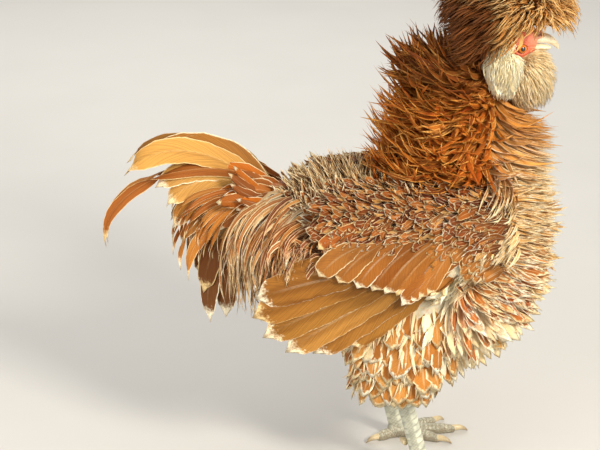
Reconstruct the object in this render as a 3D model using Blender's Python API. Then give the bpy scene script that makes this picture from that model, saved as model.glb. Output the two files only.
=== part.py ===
"""A still, life-size frizzled Padovana cock, standing on its own feet.

Metres, +Z up. The bird faces +X, its left side is +Y, and it stands on the plane Z = 0.
"""

import math
import random

import bmesh
import bpy
from mathutils import Matrix, Vector
from mathutils.bvhtree import BVHTree

GAP = 0.0004
CORE_SHARE = 0.45
SIDES = {"right": -1.0, "left": 1.0}
chance = random.Random(7)

# Each form is a row of stations: x, z, half width, half height, coat depth on its upper side
# (angle 0) and coat depth on its lower side (180 degrees). Angle 90 is the bird's left.
TORSO = (
    (-0.113, 0.257, 0.009, 0.009, 0.012, 0.010),
    (-0.095, 0.244, 0.028, 0.026, 0.022, 0.022),
    (-0.065, 0.228, 0.046, 0.044, 0.029, 0.026),
    (-0.025, 0.207, 0.058, 0.062, 0.030, 0.028),
    (0.015, 0.194, 0.062, 0.076, 0.028, 0.031),
    (0.050, 0.202, 0.054, 0.072, 0.028, 0.033),
    (0.081, 0.226, 0.038, 0.052, 0.030, 0.032),
    (0.100, 0.242, 0.014, 0.021, 0.034, 0.032),
)
NECK = (
    (0.040, 0.245, 0.042, 0.042, 0.030, 0.038),
    (0.042, 0.275, 0.037, 0.040, 0.050, 0.050),
    (0.045, 0.310, 0.028, 0.033, 0.058, 0.054),
    (0.050, 0.345, 0.020, 0.026, 0.062, 0.054),
    (0.057, 0.370, 0.016, 0.022, 0.070, 0.014),
    (0.062, 0.384, 0.014, 0.018, 0.072, 0.002),
)
HEAD = (
    (0.055, 0.3915, 0.005, 0.005, 0.0, 0.0),
    (0.060, 0.3935, 0.013, 0.013, 0.0, 0.0),
    (0.070, 0.3985, 0.0175, 0.0190, 0.0, 0.0),
    (0.082, 0.4015, 0.0178, 0.0200, 0.0, 0.0),
    (0.092, 0.4015, 0.0160, 0.0180, 0.0, 0.0),
    (0.100, 0.4015, 0.0125, 0.0135, 0.0, 0.0),
    (0.105, 0.4015, 0.0092, 0.0100, 0.0, 0.0),
    (0.107, 0.4015, 0.0040, 0.0045, 0.0, 0.0),
)
UPPER_BEAK = (
    (0.098, 0.4037, 0.0078, 0.0048, 0.0, 0.0),
    (0.108, 0.4039, 0.0071, 0.0046, 0.0, 0.0),
    (0.115, 0.4029, 0.0055, 0.0040, 0.0, 0.0),
    (0.1205, 0.4005, 0.0038, 0.0033, 0.0, 0.0),
    (0.1243, 0.3970, 0.0022, 0.0022, 0.0, 0.0),
    (0.1262, 0.3935, 0.0005, 0.0005, 0.0, 0.0),
)
LOWER_BEAK = (
    (0.098, 0.3955, 0.0070, 0.0028, 0.0, 0.0),
    (0.108, 0.3957, 0.0060, 0.0026, 0.0, 0.0),
    (0.115, 0.3955, 0.0042, 0.0021, 0.0, 0.0),
    (0.1195, 0.3947, 0.0014, 0.0010, 0.0, 0.0),
)
# Limbs add the distance from the middle plane. The wing runs from its rear end to the wrist.
WING = (
    (-0.066, 0.219, 0.0030, 0.010, 0.012, 0.004),
    (-0.040, 0.222, 0.0075, 0.028, 0.014, 0.004),
    (0.000, 0.229, 0.0100, 0.035, 0.014, 0.004),
    (0.032, 0.241, 0.0095, 0.028, 0.012, 0.004),
    (0.054, 0.255, 0.0035, 0.010, 0.008, 0.004),
)
WING_OUT = (0.079, 0.080, 0.081, 0.079, 0.075)
TAIL = (
    (-0.144, 0.261, 0.0050, 0.007, 0.0, 0.0),
    (-0.132, 0.259, 0.0115, 0.014, 0.0, 0.0),
    (-0.119, 0.257, 0.0130, 0.016, 0.0, 0.0),
    (-0.106, 0.255, 0.0100, 0.013, 0.0, 0.0),
)
# The thigh runs up from the hock to the hip, and the shank from the ankle to the hock.
THIGH = (
    (-0.017, 0.092, 0.010, 0.012, 0.008, 0.008),
    (-0.017, 0.116, 0.022, 0.030, 0.024, 0.022),
    (-0.012, 0.150, 0.027, 0.042, 0.024, 0.022),
    (-0.006, 0.186, 0.024, 0.044, 0.012, 0.010),
)
THIGH_OUT = (0.043, 0.046, 0.047, 0.044)
SHANK = (
    (0.003, 0.0125, 0.0075, 0.0080, 0.0, 0.0),
    (0.000, 0.0220, 0.0068, 0.0075, 0.0, 0.0),
    (-0.006, 0.0450, 0.0058, 0.0072, 0.0, 0.0),
    (-0.014, 0.0750, 0.0060, 0.0076, 0.0, 0.0),
    (-0.020, 0.0960, 0.0078, 0.0092, 0.0, 0.0),
    (-0.022, 0.1080, 0.0070, 0.0080, 0.0, 0.0),
)
LEG_OUT = 0.043
STRIDE = {"right": 0.010, "left": -0.009}

# Tufted balls: middle and core radii.
CREST = ((0.078, 0.0, 0.4325), (0.036, 0.031, 0.0270))
BEARD = ((0.0940, 0.0, 0.3690), (0.0180, 0.0185, 0.0150))
MUFF = ((0.0715, 0.0225, 0.3810), (0.0130, 0.0080, 0.0125))

# Outlines of feathers: share of the length, share of the half width. Each ends in a point.
LANCE = ((0.0, 0.45), (0.36, 1.0), (0.74, 0.74))
STRIP = ((0.0, 0.60), (0.35, 1.0), (0.72, 0.85))
BLADE = ((0.0, 0.40), (0.28, 0.95), (0.62, 1.0), (0.90, 0.62))
SICKLE = ((0.0, 0.50), (0.20, 0.90), (0.42, 1.0), (0.63, 0.95), (0.84, 0.66))
VANE_THICKNESS = 0.0007
ROOT_DEPTH = 0.005
GOLDEN_ANGLE = math.radians(137.5)

# Wing feathers: places of the first and last root, and of the tips from the top one down.
FLIGHT_ROOTS = ((-0.036, 0.223), (0.022, 0.212))
FLIGHT_TIPS_X = (-0.112, -0.139, -0.140, -0.130, -0.112, -0.088, -0.060)
FLIGHT_TIPS_Z = (0.208, 0.186, 0.169, 0.151, 0.137, 0.138, 0.147)
COVERT_ROOTS = ((-0.034, 0.236), (0.042, 0.238))
COVERT_TIPS_X = (-0.084, -0.064, -0.042, -0.018, 0.006)
COVERT_TIPS_Z = (0.226, 0.211, 0.199, 0.193, 0.199)

# Tail feathers of one side, from the top one down: rise at the root and at the tip in degrees
# above the level line, length, half width, turn away from the middle plane.
TAIL_FAN = (
    (60.0, -52.0, 0.160, 0.0140, 3.0),
    (42.0, -44.0, 0.104, 0.0138, 5.0),
    (24.0, -52.0, 0.106, 0.0135, 7.0),
    (6.0, -60.0, 0.108, 0.0132, 9.0),
    (-14.0, -66.0, 0.114, 0.0130, 11.0),
    (-38.0, -74.0, 0.118, 0.0125, 12.0),
)
TAIL_SICKLES = ((65.0, -95.0, 0.224, 0.0085, 6.0), (30.0, -86.0, 0.132, 0.0080, 15.0))
TAIL_COVERTS = ((50.0, 100.0, 0.046, 0.0090, 8.0), (25.0, 105.0, 0.052, 0.0085, 18.0))
TAIL_ROOT = (-0.122, 0.258)
TAIL_LEAN = math.radians(12.0)
SADDLE_BEND = math.radians(66.0)

EYE = Vector((0.0925, 0.0118, 0.3975))
EYE_RADIUS = 0.0055
LID_RADIUS = 0.0056
LID_THICKNESS = 0.0013
NOSTRIL = (0.1055, 0.0042, 0.4073)
NOSTRIL_SLIT = (0.1080, 0.0073, 0.4073)
GAPE = (0.1000, 0.0135, 0.3985)

# Toes: turn from straight ahead towards the outside, length and number of the claw.
TOES = ((-30.0, 0.040), (0.0, 0.054), (28.0, 0.043), (202.0, 0.024))
TOE_OUT = 8.0
TOE_THICKNESS = (0.0066, 0.0052, 0.0040)
FOOT_HEIGHT = 0.0140
CLAW_LENGTH = 0.013
CLAW_THICKNESS = 0.0030
SPUR_LENGTH = 0.009


def clear_scene():
    for obj in list(bpy.data.objects):
        bpy.data.objects.remove(obj, do_unlink=True)


def curve_value(values, share):
    """A smooth curve through evenly spaced values, read at share, from 0 to 1."""
    place = min(max(share, 0.0), 1.0) * (len(values) - 1)
    k = min(int(place), len(values) - 2)
    t = place - k
    a = values[max(k - 1, 0)]
    b, c = values[k], values[k + 1]
    d = values[min(k + 2, len(values) - 1)]
    return 0.5 * (
        2 * b + (c - a) * t + (2 * a - 5 * b + 4 * c - d) * t * t + (3 * b - a - 3 * c + d) * t**3
    )


class Form:
    """A form of the body: ellipses along a smooth spine."""

    def __init__(self, stations, out=None, side=1.0, ahead=0.0):
        self.columns = list(zip(*stations))
        self.out = [side * y for y in out] if out else [0.0] * len(stations)
        self.ahead = ahead

    def centre(self, along):
        return Vector((
            curve_value(self.columns[0], along) + self.ahead,
            curve_value(self.out, along),
            curve_value(self.columns[1], along),
        ))

    def forward(self, along):
        step = 0.01
        return (self.centre(min(along + step, 1.0)) - self.centre(max(along - step, 0.0))).normalized()

    def coat(self, along, angle):
        upper = 0.5 + 0.5 * math.cos(angle)
        return curve_value(self.columns[4], along) * upper + curve_value(self.columns[5], along) * (1 - upper)

    def point(self, along, angle, coat_share=0.0, grow=0.0):
        side = Vector((0.0, 1.0, 0.0))
        up = self.forward(along).cross(side).normalized()
        more = self.coat(along, angle) * coat_share + grow
        half_width = max(curve_value(self.columns[2], along), 0.0003) + more
        half_height = max(curve_value(self.columns[3], along), 0.0003) + more
        reach = side * (half_width * math.sin(angle)) + up * (half_height * math.cos(angle))
        return self.centre(along) + reach

    def normal(self, along, angle):
        step = 0.02
        high, low = min(along + step, 1.0), max(along - step, 0.0)
        lengthwise = self.point(high, angle, CORE_SHARE) - self.point(low, angle, CORE_SHARE)
        around = self.point(along, angle + step, CORE_SHARE) - self.point(along, angle - step, CORE_SHARE)
        return lengthwise.cross(around).normalized()

    def lie(self, along, angle):
        """The way feathers lie there: along the surface, away from the last station."""
        out, back = self.normal(along, angle), -self.forward(along)
        return (back - out * back.dot(out)).normalized()

    def mesh(self, rings, sides, coat_share=CORE_SHARE):
        """(points, faces) of the closed form, with the coat grown to a share of its depth."""
        points, faces = [], []
        for ring in range(rings + 1):
            points += [self.point(ring / rings, 2 * math.pi * k / sides, coat_share) for k in range(sides)]
        for end, sense in ((0.0, -1.0), (1.0, 1.0)):
            reach = 0.7 * coat_share * self.coat(end, math.pi / 2)
            points.append(self.centre(end) + self.forward(end) * (sense * reach))
        for ring in range(rings):
            for k in range(sides):
                a, b = ring * sides + k, ring * sides + (k + 1) % sides
                faces.append((a, b, b + sides, a + sides))
        last = rings * sides
        for k in range(sides):
            faces.append((len(points) - 2, (k + 1) % sides, k))
            faces.append((len(points) - 1, last + k, last + (k + 1) % sides))
        return points, faces


def mesh_object(name, points, faces):
    """A closed mesh object of triangles that face out."""
    mesh = bpy.data.meshes.new(name)
    mesh.from_pydata([tuple(p) for p in points], [], faces)
    work = bmesh.new()
    work.from_mesh(mesh)
    bmesh.ops.recalc_face_normals(work, faces=work.faces)
    if work.calc_volume(signed=True) < 0.0:
        bmesh.ops.reverse_faces(work, faces=work.faces)
    bmesh.ops.triangulate(work, faces=work.faces)
    work.to_mesh(mesh)
    work.free()
    obj = bpy.data.objects.new(name, mesh)
    bird.objects.link(obj)
    return obj


def ball(name, centre, radii, segments=16, rings=10):
    """An ellipsoid from a sphere primitive."""
    mesh = bpy.data.meshes.new(name)
    work = bmesh.new()
    bmesh.ops.create_uvsphere(work, u_segments=segments, v_segments=rings, radius=1.0)
    stretch = Matrix.Translation(centre) @ Matrix.Diagonal((*radii, 1.0))
    bmesh.ops.transform(work, matrix=stretch, verts=work.verts)
    bmesh.ops.triangulate(work, faces=work.faces)
    work.to_mesh(mesh)
    work.free()
    obj = bpy.data.objects.new(name, mesh)
    bird.objects.link(obj)
    return obj


def keep_largest(obj):
    """Keeps the largest closed surface of the object."""
    work = bmesh.new()
    work.from_mesh(obj.data)
    left, shells = set(work.faces), []
    while left:
        shell, open_faces = [], [left.pop()]
        while open_faces:
            face = open_faces.pop()
            shell.append(face)
            for edge in face.edges:
                for other in edge.link_faces:
                    if other in left:
                        left.discard(other)
                        open_faces.append(other)
        shells.append(shell)
    best = max(shells, key=lambda shell: sum(face.calc_area() for face in shell))
    scraps = [face for shell in shells if shell is not best for face in shell]
    bmesh.ops.delete(work, geom=scraps, context="FACES")
    work.to_mesh(obj.data)
    work.free()


def boolean(obj, others, operation, solver="EXACT"):
    """One Boolean of the object with a list of closed mesh objects, which are then removed."""
    operands = bpy.data.collections.new("operands")
    bpy.context.scene.collection.children.link(operands)
    for other in others:
        operands.objects.link(other)
    modifier = obj.modifiers.new("boolean", "BOOLEAN")
    modifier.operation = operation
    modifier.solver = solver
    modifier.operand_type = "COLLECTION"
    modifier.collection = operands
    graph = bpy.context.evaluated_depsgraph_get()
    obj.data = bpy.data.meshes.new_from_object(obj.evaluated_get(graph))
    obj.modifiers.clear()
    for other in others:
        bpy.data.objects.remove(other, do_unlink=True)
    bpy.data.collections.remove(operands)
    keep_largest(obj)


def grown_copy(obj):
    """A cutter: the object's surface moved out by the gap."""
    work = bmesh.new()
    work.from_mesh(obj.data)
    bmesh.ops.remove_doubles(work, verts=work.verts, dist=1e-6)
    work.normal_update()
    places = [vert.co + vert.normal * (GAP * vert.calc_shell_factor()) for vert in work.verts]
    for vert, place in zip(work.verts, places):
        vert.co = place
    mesh = bpy.data.meshes.new(obj.name + "_cutter")
    work.to_mesh(mesh)
    work.free()
    cutter = bpy.data.objects.new(mesh.name, mesh)
    bird.objects.link(cutter)
    return cutter


def box_of(obj):
    corners = [vert.co for vert in obj.data.vertices]
    low = Vector([min(corner[axis] for corner in corners) for axis in range(3)])
    high = Vector([max(corner[axis] for corner in corners) for axis in range(3)])
    return low, high


def near(first, second):
    (low_a, high_a), (low_b, high_b) = box_of(first), box_of(second)
    return all(low_a[k] - GAP < high_b[k] and low_b[k] - GAP < high_a[k] for k in range(3))


def place_node(obj, colour, roughness=0.7):
    """Cuts the new node clear of the nodes placed before it and gives it its material."""
    for other in nodes:
        if near(obj, other):
            boolean(obj, [grown_copy(other)], "DIFFERENCE", "MANIFOLD")
    material = bpy.data.materials.new(obj.name)
    material.use_nodes = True
    shader = material.node_tree.nodes["Principled BSDF"]
    shader.inputs["Base Color"].default_value = (*colour, 1.0)
    shader.inputs["Roughness"].default_value = roughness
    obj.data.materials.clear()
    obj.data.materials.append(material)
    nodes.append(obj)
    return obj


class Vane:
    """One feather: a thin plate round a middle line that bends evenly.

    It curls towards its face and sweeps towards its side, both in radians over its length.
    """

    def __init__(self, root, heading, face, length, half_width, curl=0.0, sweep=0.0, outline=LANCE):
        self.root = root
        self.heading = heading.normalized()
        self.face = (face - self.heading * face.dot(self.heading)).normalized()
        self.length = length
        self.half_width = half_width
        self.curl = curl
        self.sweep = sweep
        self.outline = outline

    def turned(self, turn, lift, shrink):
        """The same feather, turned sideways, lifted towards its face and made shorter."""
        heading = Matrix.Rotation(turn, 3, self.face) @ self.heading
        across = heading.cross(self.face)
        heading = Matrix.Rotation(lift, 3, across) @ heading
        face = Matrix.Rotation(lift, 3, across) @ self.face
        return Vane(
            self.root, heading, face, self.length * shrink, self.half_width * (0.5 + 0.5 * shrink),
            self.curl, self.sweep, self.outline,
        )

    def stations(self, more=0.0):
        """Middle point, side and face directions at each point of the outline, and at the tip."""
        steps = 24
        shares = [share for share, _ in self.outline] + [1.0]
        place, heading, face = self.root.copy(), self.heading.copy(), self.face.copy()
        found, step_length = [], (self.length + more) / steps
        for step in range(steps + 1):
            while shares and step / steps >= shares[0] - 1e-6:
                found.append((place.copy(), face.cross(heading), face.copy()))
                shares.pop(0)
            place = place + heading * step_length
            side = face.cross(heading)
            bend = Matrix.Rotation(self.curl / steps, 3, -side)
            bend = bend @ Matrix.Rotation(self.sweep / steps, 3, -face)
            heading, face = (bend @ heading).normalized(), (bend @ face).normalized()
        return found

    def mesh(self, more=0.0):
        """(points, triangles) of the plate, grown by more. Both faces are split the same way."""
        points, triangles = [], []
        rows = self.stations(more)
        for (place, side, face), (_, share) in zip(rows, self.outline):
            reach = side * (self.half_width * share + more)
            thick = face * (VANE_THICKNESS / 2 + more)
            points += [place + reach + thick, place - reach + thick]
            points += [place - reach - thick, place + reach - thick]
        points.append(rows[-1][0])
        last = len(points) - 1
        for row in range(len(self.outline)):
            for k in range(4):
                a, b = row * 4 + k, row * 4 + (k + 1) % 4
                if row == len(self.outline) - 1:
                    triangles.append((a, b, last))
                elif k == 0:
                    triangles += [(a, b, b + 4), (a, b + 4, a + 4)]
                else:
                    triangles += [(a, b, a + 4), (b, b + 4, a + 4)]
        triangles += [(0, 2, 1), (0, 3, 2)]
        return points, triangles


def tree_of(points, triangles):
    return BVHTree.FromPolygons(points, triangles, all_triangles=True)


def tree_of_object(obj):
    obj.data.calc_loop_triangles()
    triangles = [tuple(triangle.vertices) for triangle in obj.data.loop_triangles]
    return tree_of([vert.co for vert in obj.data.vertices], triangles)


def is_clear(node_name, vane):
    """Whether the vane keeps the gap to every other node and to the floor."""
    points, triangles = vane.mesh(GAP)
    if min(point.z for point in points) < GAP:
        return False
    tree = tree_of(points, triangles)
    return not any(tree.overlap(other) for name, other in trees.items() if name != node_name)


def fitted(node_name, vane):
    """The vane, or its nearest bent or shorter likeness that is clear of the other nodes, or None."""
    for shrink in (1.0, 0.85, 0.7, 0.55):
        for lift in (0.0, 10.0, -10.0, 20.0):
            for turn in (0.0, 12.0, -12.0, 24.0, -24.0):
                likeness = vane.turned(math.radians(turn), math.radians(lift), shrink)
                if is_clear(node_name, likeness):
                    return likeness
    return None


def add_feathers(obj, vanes):
    """Joins to the node those of the feathers that find room."""
    name = obj.name
    kept = [vane for vane in (fitted(name, vane) for vane in vanes) if vane]
    boolean(obj, [mesh_object("vane", *vane.mesh()) for vane in kept], "UNION", "MANIFOLD")
    trees[name] = tree_of_object(obj)


def is_covered(node_name, place, margin=0.002):
    """Whether another node lies over the place."""
    for name, tree in trees.items():
        if name == node_name:
            continue
        nearest, normal, _, distance = tree.find_nearest(place)
        if distance < margin or (distance < 0.03 and (place - nearest).dot(normal) < 0.0):
            return True
    return False


def length_to(depth, rise, end):
    """The length that takes the tip of a feather bending from rise to end degrees to the coat's depth."""
    rise, end = math.radians(rise), math.radians(end)
    return (depth + ROOT_DEPTH) * (end - rise) / (math.cos(rise) - math.cos(end))


def curled_feather(place, out, lie, length, half_width, rise, end, sway=6.0):
    """A feather that leaves the skin at place, along its lie, and bends from rise to end degrees over it."""
    rise, end = math.radians(rise), math.radians(end + chance.uniform(-10, 10))
    lie = Matrix.Rotation(math.radians(chance.uniform(-sway, sway)), 3, out) @ lie
    heading = lie * math.cos(rise) + out * math.sin(rise)
    face = out * math.cos(rise) - lie * math.sin(rise)
    root = place - out * ROOT_DEPTH
    length, half_width = length * chance.uniform(0.92, 1.08), half_width * chance.uniform(0.9, 1.1)
    return Vane(root, heading, face, length, half_width, end - rise)


def coat_of(form, node_name, rows, spacing, half_width, rise, end, first=0.0, last=1.0, wanted=None):
    """Rows of curled feathers all round a form, staggered, where no other node lies over it."""
    vanes = []
    for row in range(rows):
        along = first + (last - first) * row / max(rows - 1, 1)
        ring = [form.point(along, math.radians(15 * k), CORE_SHARE) for k in range(25)]
        girth = sum((ring[k + 1] - ring[k]).length for k in range(24))
        count = max(round(girth / spacing), 4)
        for k in range(count):
            angle = 2 * math.pi * (k + 0.5 * (row % 2) + chance.uniform(-0.12, 0.12)) / count
            place = form.point(along, angle, CORE_SHARE)
            if wanted and not wanted(place, along, angle):
                continue
            if is_covered(node_name, place):
                continue
            over = rise + (4.0 if k % 2 else -4.0)
            length = length_to(form.coat(along, angle) * (1 - CORE_SHARE), over, end)
            out, lie = form.normal(along, angle), form.lie(along, angle)
            vanes.append(curled_feather(place, out, lie, length, half_width, over, end))
    return vanes


def tuft_of(node_name, tuft, count, flow, half_width, stance, wanted):
    """Feathers spread evenly over a ball and laid along the flow.

    A stance gives the rise, end and length of the feather on a ray out of the ball's middle.
    """
    centre, radii = tuft
    vanes = []
    for k in range(count):
        height = 1 - 2 * (k + 0.5) / count
        turn = k * GOLDEN_ANGLE
        level = math.sqrt(1 - height * height)
        ray = Vector((level * math.cos(turn), level * math.sin(turn), height))
        place = Vector(centre) + Vector([radius * part for radius, part in zip(radii, ray)])
        if not wanted(ray) or is_covered(node_name, place, 0.001):
            continue
        out = Vector([part / radius for radius, part in zip(radii, ray)]).normalized()
        lie = (flow - out * flow.dot(out)).normalized()
        rise, end, length = stance(ray)
        vanes.append(curled_feather(place, out, lie, length, half_width, rise, end))
    return vanes


def mirrored(place, side):
    return Vector((place[0], place[1] * side, place[2]))


def lid_ring(side):
    """The lids round one eye, as a ring on the head."""
    bpy.ops.mesh.primitive_torus_add(
        location=mirrored(EYE, side) + Vector((0.0, side * 0.0034, 0.0)),
        rotation=(math.radians(90.0), 0.0, math.radians(-side * 12.0)),
        major_segments=9,
        minor_segments=3,
        major_radius=LID_RADIUS,
        minor_radius=LID_THICKNESS,
    )
    ring = bpy.context.object
    ring.data.transform(ring.matrix_world)
    ring.matrix_world = Matrix.Identity(4)
    return ring


def build_eyes():
    for name, side in SIDES.items():
        eye = ball(f"eye_{name}", mirrored(EYE, side), (EYE_RADIUS,) * 3, 9, 6)
        place_node(eye, (0.35, 0.09, 0.03), 0.1)


def build_beak():
    place_node(mesh_object("beak_upper", *Form(UPPER_BEAK).mesh(6, 10)), (0.82, 0.72, 0.52), 0.35)
    place_node(mesh_object("beak_lower", *Form(LOWER_BEAK).mesh(4, 8)), (0.82, 0.72, 0.52), 0.35)


def build_head():
    """The bare head: skull, lids, the swollen nostrils with their slits, and the corner of the mouth."""
    head = mesh_object("head", *Form(HEAD).mesh(7, 10))
    raised = [lid_ring(side) for side in SIDES.values()]
    slits = []
    for side in SIDES.values():
        raised.append(ball("nostril", mirrored(NOSTRIL, side), (0.0072, 0.0034, 0.0040), 6, 4))
        slits.append(ball("slit", mirrored(NOSTRIL_SLIT, side), (0.0030, 0.0016, 0.0008), 6, 4))
        slits.append(ball("gape", mirrored(GAPE, side), (0.0090, 0.0050, 0.0004), 6, 4))
    boolean(head, raised, "UNION")
    boolean(head, slits, "DIFFERENCE")
    place_node(head, (0.78, 0.28, 0.14), 0.6)


def build_tuft_cores():
    place_node(ball("crest", *CREST, 12, 8), (0.50, 0.26, 0.09))
    place_node(ball("beard", *BEARD, 8, 6), (0.80, 0.55, 0.27))
    for name, side in SIDES.items():
        place_node(ball(f"muff_{name}", mirrored(MUFF[0], side), MUFF[1], 8, 6), (0.85, 0.68, 0.42))


def tube(name, path, radii, sides=6):
    """A tapering tube along a path."""
    points, faces = [], []
    for k, (place, radius) in enumerate(zip(path, radii)):
        ahead = (path[min(k + 1, len(path) - 1)] - path[max(k - 1, 0)]).normalized()
        side = ahead.cross(Vector((0.0, 0.0, 1.0))).normalized()
        up = side.cross(ahead)
        for step in range(sides):
            turn = 2 * math.pi * (step + 0.5) / sides
            points.append(place + side * (radius * math.cos(turn)) + up * (radius * math.sin(turn)))
    for k in range(len(path) - 1):
        for step in range(sides):
            a, b = k * sides + step, k * sides + (step + 1) % sides
            faces.append((a, b, b + sides, a + sides))
    last = (len(path) - 1) * sides
    faces.append(tuple(range(sides)))
    faces.append(tuple(range(last, last + sides)))
    return mesh_object(name, points, faces)


def toe_path(hub, turn, length):
    """The middle line of one toe: down off the ball of the foot and flat along the floor."""
    heading = Vector((math.cos(turn), math.sin(turn), 0.0))
    root, knuckle, tip = TOE_THICKNESS
    heights = (FOOT_HEIGHT * 0.55, root * 0.90, knuckle * 0.84, tip * 0.80)
    shares = (0.0, 0.30, 0.65, 1.0)
    radii = (root * 1.05, root, knuckle, tip)
    return [hub + heading * (length * s) + Vector((0, 0, z)) for s, z in zip(shares, heights)], radii, heading


def slab_under(hub):
    """A block whose top is the floor, which cuts the soles flat."""
    bpy.ops.mesh.primitive_cube_add(size=0.2, location=hub - Vector((0.0, 0.0, 0.1)))
    slab = bpy.context.object
    slab.data.transform(slab.matrix_world)
    slab.matrix_world = Matrix.Identity(4)
    return slab


def build_legs():
    for name, side in SIDES.items():
        ahead = STRIDE[name]
        shank = mesh_object(f"shank_{name}", *Form(SHANK, (LEG_OUT,) * len(SHANK), side, ahead).mesh(7, 10))
        place_node(shank, (0.62, 0.65, 0.55), 0.5)
        spur_root = Vector((ahead - 0.012, side * (LEG_OUT - 0.002), 0.034))
        spur_tip = spur_root + Vector((-0.6, -side * 0.8, 0.05)).normalized() * SPUR_LENGTH
        spur_path = [spur_root, spur_root.lerp(spur_tip, 0.6), spur_tip]
        place_node(tube(f"spur_{name}", spur_path, (0.0034, 0.0024, 0.0006)), (0.72, 0.68, 0.55), 0.4)
        hub = Vector((ahead + 0.005, side * LEG_OUT, 0.0))
        foot = ball(f"foot_{name}", hub + Vector((0, 0, 0.0078)), (0.0105, 0.0105, 0.0095), 8, 4)
        toes, claws = [], []
        for number, (turn, length) in enumerate(TOES, 1):
            angle = side * math.radians(turn + TOE_OUT)
            path, radii, heading = toe_path(hub, angle, length)
            toes.append(tube(f"toe_{number}", path, radii))
            start = path[-1] - heading * 0.0035 + Vector((0, 0, 0.0008))
            middle = path[-1] + heading * (CLAW_LENGTH * 0.45) + Vector((0, 0, 0.0010))
            end = path[-1] + heading * CLAW_LENGTH
            end.z = 0.0012
            radii = (CLAW_THICKNESS * 0.9, CLAW_THICKNESS * 0.75, 0.0005)
            claws.append(tube(f"claw_{name}_{number}", [start, middle, end], radii))
        boolean(foot, toes, "UNION")
        boolean(foot, [slab_under(hub)], "DIFFERENCE")
        place_node(foot, (0.42, 0.38, 0.26), 0.55)
        for claw in claws:
            place_node(claw, (0.70, 0.62, 0.48), 0.4)


def build_body_cores():
    for name, side in SIDES.items():
        place_node(mesh_object(f"wing_{name}", *wing_forms[name].mesh(7, 10)), (0.50, 0.24, 0.08))
    place_node(mesh_object("tail", *Form(TAIL).mesh(5, 10)), (0.55, 0.26, 0.07))
    place_node(mesh_object("neck", *neck_form.mesh(7, 12)), (0.40, 0.14, 0.04))
    for name in SIDES:
        place_node(mesh_object(f"thigh_{name}", *thigh_forms[name].mesh(5, 10)), (0.85, 0.70, 0.48))
    place_node(mesh_object("torso", *torso_form.mesh(10, 14)), (0.72, 0.50, 0.27))


def mixed(first, last, share):
    return tuple(a + (b - a) * share for a, b in zip(first, last))


def tail_feather(side, place, rise, end, length, half_width, turn, outline):
    """A feather that leans out from the middle plane, as a tent, and sweeps from rise to end degrees."""
    rise, end, turn = math.radians(rise), math.radians(end), math.radians(turn)
    level = Vector((-math.cos(turn), side * math.sin(turn), 0.0))
    heading = level * math.cos(rise) + Vector((0.0, 0.0, math.sin(rise)))
    face = Vector((0.0, side * math.cos(TAIL_LEAN), math.sin(TAIL_LEAN)))
    return Vane(place, heading, face, length, half_width, 0.0, side * (rise - end), outline)


def tail_feathers():
    vanes = []
    for side in SIDES.values():
        for k, feather in enumerate(TAIL_FAN):
            place = Vector((TAIL_ROOT[0], side * (0.0016 + 0.0014 * k), TAIL_ROOT[1] + 0.003 - 0.002 * k))
            vanes.append(tail_feather(side, place, *feather, BLADE))
        for share in (0.0, 1.0):
            place = Vector((TAIL_ROOT[0], side * (0.0098 + 0.0010 * share), TAIL_ROOT[1] + 0.001))
            vanes.append(tail_feather(side, place, *mixed(*TAIL_SICKLES, share), SICKLE))
        for k in range(3):
            place = Vector((TAIL_ROOT[0] - 0.006 * k, side * (0.0030 + 0.0015 * k), TAIL_ROOT[1] + 0.005))
            vanes.append(tail_feather(side, place, *mixed(*TAIL_COVERTS, k / 2), LANCE))
    return vanes


def shingle(side, root, tip, half_width, roll, sag):
    """A long wing feather from root to tip, its lower edge turned out by roll, sagging by sag."""
    heading = tip - root
    face = Vector((0.0, side * math.cos(roll), math.sin(roll)))
    start = Matrix.Rotation(side * sag / 2, 3, face) @ heading
    return Vane(root, start, face, heading.length, half_width, 0.0, side * sag, BLADE)


def wing_feathers(name, side):
    """Flight feathers, the row of large coverts over their roots, and the curled small coverts."""
    vanes = []
    for k in range(8):
        share = k / 7
        x, z = mixed(*FLIGHT_ROOTS, share)
        root = Vector((x, side * (0.0815 - 0.0030 * share), z))
        tip = Vector((curve_value(FLIGHT_TIPS_X, share), side * 0.0740, curve_value(FLIGHT_TIPS_Z, share)))
        vanes.append(shingle(side, root, tip, 0.0135, math.radians(8.0), math.radians(9.0)))
    for k in range(6):
        share = k / 5
        x, z = mixed(*COVERT_ROOTS, share)
        root = Vector((x, side * 0.0850, z))
        tip = Vector((curve_value(COVERT_TIPS_X, share), side * 0.0890, curve_value(COVERT_TIPS_Z, share)))
        vanes.append(shingle(side, root, tip, 0.0120, math.radians(8.0), math.radians(6.0)))
    vanes += coat_of(
        wing_forms[name], f"wing_{name}", 5, 0.018, 0.0090, 22.0, 95.0, 0.12, 0.95,
        lambda place, along, angle: side * math.sin(angle) > -0.1 and place.z > 0.226,
    )
    return vanes


def saddle_feathers():
    """The long narrow feathers that hang over both sides of the rump."""
    vanes = []
    for side in SIDES.values():
        for k in range(9):
            along, angle = 0.06 + 0.22 * ((k * 0.618) % 1.0), math.radians(30.0 + 9.0 * k)
            place = torso_form.point(along, side * angle, CORE_SHARE)
            out = torso_form.normal(along, side * angle)
            heading = Vector((-0.80, side * 0.10, 0.22 - 0.06 * k))
            root = place - out * ROOT_DEPTH
            length = chance.uniform(0.078, 0.106)
            curl, sweep = -SADDLE_BEND * math.cos(angle), side * SADDLE_BEND * math.sin(angle)
            vanes.append(Vane(root, heading, out, length, 0.0060, curl, sweep, STRIP))
    return vanes


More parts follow.
